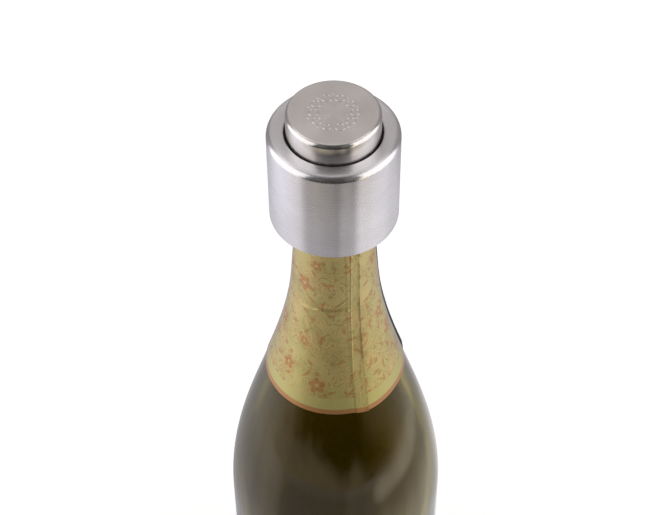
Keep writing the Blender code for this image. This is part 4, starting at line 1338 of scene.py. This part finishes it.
def leaves(tree, place, size, shift, length, width, share):
    """Pointed, bent leaves with a pale rib."""
    spot, chance, size_chance = cell_frame(tree, place, size, shift, 0.9)
    across, along = parts_of(tree, spot)[:2]
    half = times(tree, calc(tree, "MULTIPLY_ADD", size_chance, 0.6, 0.6), length)
    aside = off_by(tree, along, times(tree, across, across, LEAF_BEND))
    share_along = calc(tree, "DIVIDE", across, half)
    bulge = calc(tree, "SUBTRACT", 1.0, times(tree, share_along, share_along), clamp=True)
    blade = under(tree, aside, calc(tree, "MULTIPLY_ADD", bulge, width, -LEAF_TRIM))
    rib = under(tree, aside, RIB_WIDTH, RIB_SOFT)
    ink = calc(tree, "SUBTRACT", blade, times(tree, rib, 0.8), clamp=True)
    return times(tree, ink, calc(tree, "LESS_THAN", chance, share))


def scrolls(tree, place, size, turns, width, patch_low, patch_high, shift=0.0):
    """Thin curling lines, in patches."""
    shifted = moved(tree, place, shift)
    field = clouds(tree, shifted, 1.0 / size, 1.0, flat=True, Distortion=0.9)
    off = off_by(tree, calc(tree, "FRACT", times(tree, field, turns)), 0.5)
    line = ramp(tree, off, 0.7 * width, 1.3 * width, 1.0, 0.0)
    patch = clouds(tree, shifted, 0.6 / size, 0.0, flat=True)
    return times(tree, line, ramp(tree, patch, patch_low, patch_high))


# %% The print
PLAIN_BAND = 7.3 * MM
BAND_SOFT = 0.3 * MM
BORDER = 2.15 * MM
BORDER_SOFT = 0.12 * MM
WARM_GOLD = (0.775, 0.610, 0.235)
GREEN_GOLD = (0.680, 0.590, 0.215)
BAND_GOLD = (0.680, 0.605, 0.215)
FILL_ORANGE = (0.610, 0.225, 0.070)
LINE_ORANGE = (0.450, 0.205, 0.060)
BORDER_ORANGE = (0.590, 0.240, 0.090)
# A painted reflection: the colour the foil turns at grazing views.
PAINTED_GRAZING_SHEEN = (0.48, 0.42, 0.37)
FILL_COVER = 0.74
LINE_COVER = 0.55
BORDER_COVER = 0.85


def print_inks(tree, place, from_edge):
    """Where the print has filled ink, and where it has lines."""
    blooms, bloom_lines = flowers(tree, place, size=14.0 * MM, shift=0.31, petals=5.0,
                                  least=2.4 * MM, most=4.2 * MM, share=0.70)
    buds, bud_lines = flowers(tree, place, size=7.5 * MM, shift=0.77, petals=6.0,
                              least=0.5 * MM, most=0.9 * MM, share=0.30)
    long_leaves = leaves(tree, place, size=6.8 * MM, shift=0.53, length=3.3 * MM,
                         width=0.72 * MM, share=0.60)
    short_leaves = leaves(tree, place, size=3.8 * MM, shift=0.91, length=1.7 * MM,
                          width=0.30 * MM, share=0.30)
    wide_scrolls = scrolls(tree, place, size=9.0 * MM, turns=9.0, width=0.058,
                           patch_low=0.34, patch_high=0.42)
    small_scrolls = scrolls(tree, place, size=5.5 * MM, turns=6.0, width=0.060,
                            patch_low=0.42, patch_high=0.48, shift=0.37)
    dense_scrolls = scrolls(tree, place, size=8.0 * MM, turns=16.0, width=0.13,
                            patch_low=0.52, patch_high=0.58, shift=0.83)
    worn = clouds(tree, place, 900.0, 3.0, flat=True)
    cover = times(tree, ramp(tree, worn, 0.25, 0.55, 0.62, 1.0),
                  calc(tree, "GREATER_THAN", from_edge, PLAIN_BAND))
    fills = any_of(tree, blooms, buds, long_leaves, short_leaves)
    lines = any_of(tree, bloom_lines, bud_lines, wide_scrolls, small_scrolls, dense_scrolls)
    return times(tree, fills, cover), times(tree, lines, cover)


def from_lower_edge(tree, place):
    """How far up the slope a place of the map is from the sheet's lower edge."""
    return calc(tree, "SUBTRACT", FAN_LOW, length_of(tree, place))


def foil_colours(tree, place):
    """The printed sheet's colour, its ink and its patches, with a painted grey sheen at grazing views.
    """
    from_edge = from_lower_edge(tree, place)
    fills, lines = print_inks(tree, place, from_edge)
    patch = clouds(tree, place, 110.0, 3.0, flat=True)
    gold = blend(tree, ramp(tree, patch, 0.30, 0.70), WARM_GOLD, GREEN_GOLD)
    gold = blend(tree, under(tree, from_edge, PLAIN_BAND, BAND_SOFT), gold, BAND_GOLD)
    colour = blend(tree, times(tree, fills, FILL_COVER), gold, FILL_ORANGE)
    colour = blend(tree, times(tree, lines, LINE_COVER), colour, LINE_ORANGE)
    border = under(tree, from_edge, BORDER, BORDER_SOFT)
    colour = blend(tree, times(tree, border, BORDER_COVER), colour, BORDER_ORANGE)
    # Painted sheen: the colour turns grey at grazing views, standing in for the reflection there.
    facing = add(tree, "ShaderNodeLayerWeight", {"Blend": 0.5}).outputs["Facing"]
    colour = blend(tree, ramp(tree, facing, 0.66, 0.96, 0.0, 0.60), colour, PAINTED_GRAZING_SHEEN)
    return colour, any_of(tree, fills, lines), patch


# %% The torn edge of the lap, and painted shade along it
SEAT_EDGE = FAN_SHARE * math.pi
TORN_TOP = (21.0 * MM, 23.0 * MM)
TORN_WIDTH = 3.2 * MM
TORN_LEAST = 0.3 * MM
TORN_SOFT = 0.12 * MM
TORN_COVER = 0.7
TEAR_WIDTH = 0.16 * MM
TEAR_SOFT = 0.10 * MM
TEAR_COVER = 0.45
BORDER_CLEAR = 0.3 * MM
# Painted shade: a soft dark band left of the lap's edge above the torn part, and a thin dark line at
# the edge.
LAP_SHADE_STRIP = (0.10 * MM, 1.60 * MM)
LAP_SHADE_COVER = 0.62
RIM_WIDTH = 0.16 * MM
RIM_SOFT = 0.06 * MM


def torn_edge(tree, place):
    """Painted shade along the lap's edge, a dark line along the tear, and the pale core where its low
    end is torn.
    """
    from_edge = from_lower_edge(tree, place)
    x, y = parts_of(tree, place)[:2]
    turn_of = calc(tree, "ARCTAN2", x, y)
    off_edge = times(tree, calc(tree, "SUBTRACT", SEAT_EDGE, turn_of), length_of(tree, place))
    ragged = clouds(tree, place, 700.0, 2.0, flat=True)
    width = calc(tree, "MULTIPLY_ADD", ragged, TORN_WIDTH, TORN_LEAST)
    low_part = ramp(tree, from_edge, *TORN_TOP, 1.0, 0.0)
    off_border = ramp(tree, from_edge, BORDER, BORDER + BORDER_CLEAR)
    torn = times(tree, under(tree, off_edge, width, TORN_SOFT), low_part, off_border, TORN_COVER)
    tear = times(tree, under(tree, off_by(tree, off_edge, width), TEAR_WIDTH, TEAR_SOFT),
                 low_part, off_border, TEAR_COVER)
    uneven = clouds(tree, place, 160.0, 1.0, flat=True)
    # Painted shade: a soft band along the lap's edge, and rim, a thin dark line at the edge itself.
    painted_shade_band = times(tree, ramp(tree, off_edge, *LAP_SHADE_STRIP, LAP_SHADE_COVER, 0.0),
                 calc(tree, "SUBTRACT", ramp(tree, uneven, 0.30, 0.55), low_part, clamp=True))
    rim = times(tree, under(tree, off_edge, RIM_WIDTH, RIM_SOFT),
                ramp(tree, uneven, 0.40, 0.55, 0.50, 0.85))
    return torn, any_of(tree, painted_shade_band, rim, tear)


# %% The foil's finish
FOIL_METAL = 0.62
FOIL_COAT = 0.4
TORN_CORE = (0.80, 0.66, 0.22)
# The olive of the painted shade along the lap's edge, also used for the tear's line.
PAINTED_LAP_SHADE = (0.165, 0.135, 0.040)


def satin(tree, shader, place, patch, ink):
    """Foil's gloss, its lacquer and its crinkles."""
    shader.inputs["Metallic"].default_value = FOIL_METAL
    shader.inputs["Coat Weight"].default_value = FOIL_COAT
    shader.inputs["Coat Roughness"].default_value = 0.22
    uneven = calc(tree, "ADD", times(tree, patch, 0.10), times(tree, ink, 0.08))
    tree.links.new(calc(tree, "ADD", 0.36, uneven), shader.inputs["Roughness"])
    grain = clouds(tree, place, 2600.0, 2.0, flat=True)
    dents = clouds(tree, place, 420.0, 4.0, flat=True, Roughness=0.65)
    folds = clouds(tree, place, 190.0, 2.0, flat=True, Distortion=0.8)
    ridge = ramp(tree, off_by(tree, folds, 0.5), 0.0, 0.035, 1.0, 0.0)
    height = calc(tree, "ADD", dents, times(tree, grain, 0.3))
    height = calc(tree, "ADD", height, times(tree, ridge, 0.35))
    bump(tree, shader, height, 0.55, 0.14 * MM)


def printed_foil():
    """The printed sheet, with its lap torn low down and painted shade along the lap's edge above."""
    material, tree, shader = start_material("printed_gold_foil")
    place = add(tree, "ShaderNodeUVMap", uv_map="fan").outputs[0]
    colour, ink, patch = foil_colours(tree, place)
    torn, shade = torn_edge(tree, place)
    colour = blend(tree, torn, colour, TORN_CORE)
    # Painted shade along the lap's edge, and the tear's dark line.
    tree.links.new(blend(tree, shade, colour, PAINTED_LAP_SHADE), shader.inputs["Base Color"])
    satin(tree, shader, place, patch, ink)
    return material


foil = link("neck_foil_fine", foil_mesh, sharp=40.0)
foil.data.materials.append(printed_foil())
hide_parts("neck_foil")
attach(foil, "bottle")
print("printed foil", len(foil.data.materials[0].node_tree.nodes), "nodes")

# %% [markdown]
# # The lifted end of the foil
# At the right the outer end of a second turn has come away from the glue. It follows the
# neck at one side and springs off at the other, more so lower down. Along its free edge the
# finish paints shade: a dark, matte strip, a thin line against the light. The flap carries
# the same print on the same map, blended to grey as painted shade towards its free edge. It
# is thinner than the model's, lies closer to the neck and starts a little higher.

# %% The lifted flap
FLAP_SEAT = math.radians(74.0)
FLAP_EDGE_LOW = math.radians(104.0)
FLAP_EDGE_HIGH = math.radians(97.0)
FLAP_FIT = 0.05 * MM
FLAP_LIFT = 0.50 * MM
FLAP_TRIM = 3.0 * MM
FLAP_START = flap_low[2] + FLAP_TRIM
FLAP_THICKNESS = 0.15 * MM
FLAP_LEAST_SHARE = 0.1
FLAP_ROWS = 110
FLAP_COLUMNS = 30


def flap_drop(height):
    """How far down the flap a height is, from 0 at its top to 1."""
    return min(1.0, max(0.0, (flap_high[2] - height) / (flap_high[2] - FLAP_START)))


def flap_point(share, height, outer):
    """A point of the flap, on its outer or its inner face, and its place on the fan map."""
    drop = flap_drop(height)
    edge = FLAP_EDGE_HIGH + drop * (FLAP_EDGE_LOW - FLAP_EDGE_HIGH)
    angle = FLAP_SEAT + share * (edge - FLAP_SEAT)
    seat = radius_at(height) + FOIL_FIT + FOIL_THICKNESS + lift_at(angle, height)
    feather = FLAP_LEAST_SHARE + (1.0 - FLAP_LEAST_SHARE) * min(1.0, 4.0 * share)
    seat += FLAP_FIT * feather
    thickness = FLAP_THICKNESS * feather
    reach = seat + FLAP_LIFT * drop ** 1.4 * share ** 2 + (thickness if outer else 0.0)
    slant = min(range(len(heights)), key=lambda row: abs(heights[row] - height))
    return around(angle, reach, height), fan_point(angle - lap_edge(height), slants[slant])


def make_flap():
    """The flap's two faces and the rim between them, with the fan map."""
    verts, maps, faces = [], [], []
    rise = flap_high[2] - FLAP_START
    for outer in (True, False):
        for row in range(FLAP_ROWS + 1):
            height = FLAP_START + rise * row / FLAP_ROWS
            for column in range(FLAP_COLUMNS + 1):
                point, spot = flap_point(column / FLAP_COLUMNS, height, outer)
                verts.append(point)
                maps.append(spot)
    wide = FLAP_COLUMNS + 1
    layer_size = wide * (FLAP_ROWS + 1)
    for row in range(FLAP_ROWS):
        for column in range(FLAP_COLUMNS):
            corner = row * wide + column
            out = (corner, corner + 1, corner + wide + 1, corner + wide)
            faces.append(out)
            faces.append(tuple(layer_size + index for index in reversed(out)))
    rim = [(0, column) for column in range(FLAP_COLUMNS)]
    rim += [(row, FLAP_COLUMNS) for row in range(FLAP_ROWS)]
    rim += [(FLAP_ROWS, column) for column in range(FLAP_COLUMNS, 0, -1)]
    rim += [(row, 0) for row in range(FLAP_ROWS, 0, -1)]
    for (row, column), (next_row, next_column) in zip(rim, rim[1:] + rim[:1]):
        here = row * wide + column
        after = next_row * wide + next_column
        faces.append((after, here, layer_size + here, layer_size + after))
    mesh = bpy.data.meshes.new("foil_flap_fine")
    mesh.from_pydata(verts, [], faces)
    layer = mesh.uv_layers.new(name="fan")
    for corner in mesh.loops:
        layer.data[corner.index].uv = maps[corner.vertex_index]
    return mesh


# %% The flap's finish
# Painted shade along the flap's free edge: the angles, low and high, where the dark strip starts.
EDGE_SHADE_LOW = 94.5
EDGE_SHADE_HIGH = 79.5
EDGE_SHADE_SOFT = 0.6
# Painted shade: the flap turns greyer over these angles, towards its free edge, where it faces away
# from the light.
FLAP_SHADE_SPAN = (math.degrees(FLAP_SEAT), 88.0)
FLAP_PAINTED_SHADE = (0.46, 0.41, 0.36)
# The dark and the paler olive of the painted shade along the flap's free edge.
PAINTED_EDGE_SHADE_DARK = (0.030, 0.038, 0.028)
PAINTED_EDGE_SHADE_PALE = (0.066, 0.076, 0.056)


def flap_finish():
    """The printed sheet, with painted shade as a dark, matte strip along its free edge."""
    material, tree, shader = start_material("lifted_foil_end_painted_shade")
    place = add(tree, "ShaderNodeUVMap", uv_map="fan").outputs[0]
    colour, ink, patch = foil_colours(tree, place)
    where = object_place(tree)
    azimuth = azimuth_at(tree, where)
    # Painted shade: the print is blended to grey towards the flap's free edge.
    colour = blend(tree, ramp(tree, azimuth, *FLAP_SHADE_SPAN, 0.0, 0.50), colour, FLAP_PAINTED_SHADE)
    height = parts_of(tree, where)[2]
    # Painted shade: past this angle the flap is dark and matte, a thin shadowed line along its free
    # edge.
    edge_shade_start = ramp(tree, height, FLAP_START, flap_high[2], EDGE_SHADE_LOW, EDGE_SHADE_HIGH)
    edge_shade_mask = under(tree, edge_shade_start, azimuth, EDGE_SHADE_SOFT)
    shade_mottle = clouds(tree, where, 900.0, 4.0)
    dark = blend(tree, ramp(tree, shade_mottle, 0.3, 0.7), PAINTED_EDGE_SHADE_DARK, PAINTED_EDGE_SHADE_PALE)
    tree.links.new(blend(tree, edge_shade_mask, colour, dark), shader.inputs["Base Color"])
    satin(tree, shader, place, patch, ink)
    # Where the shade is painted, the flap is matte and not metal.
    printed = calc(tree, "SUBTRACT", 1.0, edge_shade_mask)
    tree.links.new(times(tree, printed, FOIL_METAL), shader.inputs["Metallic"])
    tree.links.new(times(tree, printed, FOIL_COAT), shader.inputs["Coat Weight"])
    tree.links.new(calc(tree, "MULTIPLY_ADD", edge_shade_mask, 0.45, 0.42), shader.inputs["Roughness"])
    shader.inputs["Specular IOR Level"].default_value = 0.2
    return material


flap = link("foil_flap_fine", make_flap(), sharp=40.0)
flap.data.materials.append(flap_finish())
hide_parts("foil_flap")
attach(flap, "bottle")
print("flap", round(FLAP_START / MM, 1), "to", round(flap_high[2] / MM, 1), "mm up")


# %% [markdown]
# # The works
# Inside the sleeve are moulded and wire pieces. They show only as a dark gap round the button
# and, with the stopper lifted, from below. Their shapes in the model are right, so each keeps
# its mesh and gets a finish of its own kind. Two are made again: the spring, which flattens
# as the button goes down, and the rubber ring, a little thinner to leave room for the jaws.

# %% Finishes for the works
PLASTIC_GRAIN = 2200.0
RUBBER_GRAIN = 1500.0


def mottled(tree, shader, cloud, first, second, rough, uneven):
    """Feed a colour and a roughness that both vary a little with a cloud."""
    tone = blend(tree, ramp(tree, cloud, 0.3, 0.7), first, second)
    tree.links.new(tone, shader.inputs["Base Color"])
    tree.links.new(calc(tree, "MULTIPLY_ADD", cloud, uneven, rough), shader.inputs["Roughness"])


def moulded(name, colour, rough, grain_scale, grain_depth):
    """Moulded plastic or rubber: an even colour, a fine grain and slightly uneven gloss."""
    material, tree, shader = start_material(name)
    place = object_place(tree)
    mottled(tree, shader, clouds(tree, place, 140.0, 3.0), shade_of(colour, 0.82),
            shade_of(colour, 1.12), rough - 0.08, 0.16)
    bump(tree, shader, clouds(tree, place, grain_scale, 2.0), 0.4, grain_depth)
    return material


def drawn_wire(name, colour):
    """Drawn steel, bright with fine scratches."""
    material, tree, shader = start_material(name)
    scratch = clouds(tree, object_place(tree), 2500.0, 3.0)
    mottled(tree, shader, scratch, shade_of(colour, 0.85), colour, 0.14, 0.2)
    shader.inputs["Metallic"].default_value = 1.0
    bump(tree, shader, scratch, 0.2, 0.01 * MM)
    return material


def soft_silicone():
    """Milky silicone, slightly see-through in its depth."""
    material, tree, shader = start_material("milky_silicone")
    cloud = clouds(tree, object_place(tree), 260.0, 2.0)
    mottled(tree, shader, cloud, (0.62, 0.62, 0.59), (0.74, 0.74, 0.72), 0.38, 0.15)
    shader.inputs["Subsurface Weight"].default_value = 0.25
    shader.inputs["Subsurface Scale"].default_value = 1.5 * MM
    bump(tree, shader, cloud, 0.2, 0.03 * MM)
    return material


black = moulded("moulded_black", (0.022, 0.022, 0.024), 0.46, PLASTIC_GRAIN, 0.02 * MM)
grey = moulded("moulded_grey", (0.21, 0.21, 0.22), 0.48, PLASTIC_GRAIN, 0.02 * MM)
rubber = moulded("ring_rubber", (0.030, 0.030, 0.030), 0.70, RUBBER_GRAIN, 0.03 * MM)
wire = drawn_wire("drawn_steel", (0.56, 0.56, 0.57))
silicone = soft_silicone()
plate_steel = brushed_steel("pressed_plate_steel", colour=(0.58, 0.57, 0.57), rough=0.30,
                            anisotropy=0.4, line_bump=0.2)
print("finishes so far", len(bpy.data.materials))

# %% The pieces that the button squeezes
SPRING_WIRE = 0.5 * MM
SPRING_TURNS = 5
SPRING_STEPS = 40
WIRE_SIDES = 12
RING_WIRE = 0.55 * MM
spring_low, spring_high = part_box("return_spring")
ring_low, ring_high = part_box("return_ring")


def make_spring():
    """A coil of round wire between the spring's two ends."""
    coil = spring_high[0] - SPRING_WIRE
    foot = spring_low[2] + SPRING_WIRE
    rise = spring_high[2] - SPRING_WIRE - foot
    last = SPRING_TURNS * SPRING_STEPS
    verts, faces = [], []
    for step in range(last + 1):
        angle = math.tau * step / SPRING_STEPS
        for side in range(WIRE_SIDES):
            turn_of = math.tau * side / WIRE_SIDES
            verts.append(around(angle, coil + SPRING_WIRE * math.cos(turn_of),
                                foot + rise * step / last + SPRING_WIRE * math.sin(turn_of)))
    for step in range(last):
        for side in range(WIRE_SIDES):
            here = step * WIRE_SIDES + side
            after = step * WIRE_SIDES + (side + 1) % WIRE_SIDES
            faces.append((here, here + WIRE_SIDES, after + WIRE_SIDES, after))
    faces.append(tuple(range(WIRE_SIDES)))
    faces.append(tuple(reversed(range(last * WIRE_SIDES, (last + 1) * WIRE_SIDES))))
    mesh = bpy.data.meshes.new("return_spring_fine")
    mesh.from_pydata(verts, [], faces)
    return mesh


spring = link("return_spring_fine", make_spring(), sharp=50.0)
spring.data.materials.append(wire)
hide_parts("return_spring")
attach(spring, "stopper")
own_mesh(spring)

ring_middle = (ring_high[0] - RING_WIRE, (ring_low[2] + ring_high[2]) / 2.0)
ring = turned("return_ring_fine", arc(ring_middle, RING_WIRE, 0.0, 345.0, 23), sides=144,
              sharp=50.0)
ring.data.materials.append(rubber)
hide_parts("return_ring")
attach(ring, "stopper")

# %% A finish for each piece of the works
finishes = {
    "guide_bush": black,
    "base_ring": black,
    "button_core": black,
    "chassis": grey,
    "jaw_1": grey,
    "jaw_2": grey,
    "jaw_3": grey,
    "mouth_seal": silicone,
    "seal_plate": plate_steel,
    "seal_screw": wire,
    "latch_clip": wire,
    "jaw_pin_1": wire,
    "jaw_pin_2": wire,
    "jaw_pin_3": wire,
}
for name, finish in finishes.items():
    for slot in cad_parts[name].material_slots:
        slot.material = finish
print("finished", len(finishes), "inner pieces")
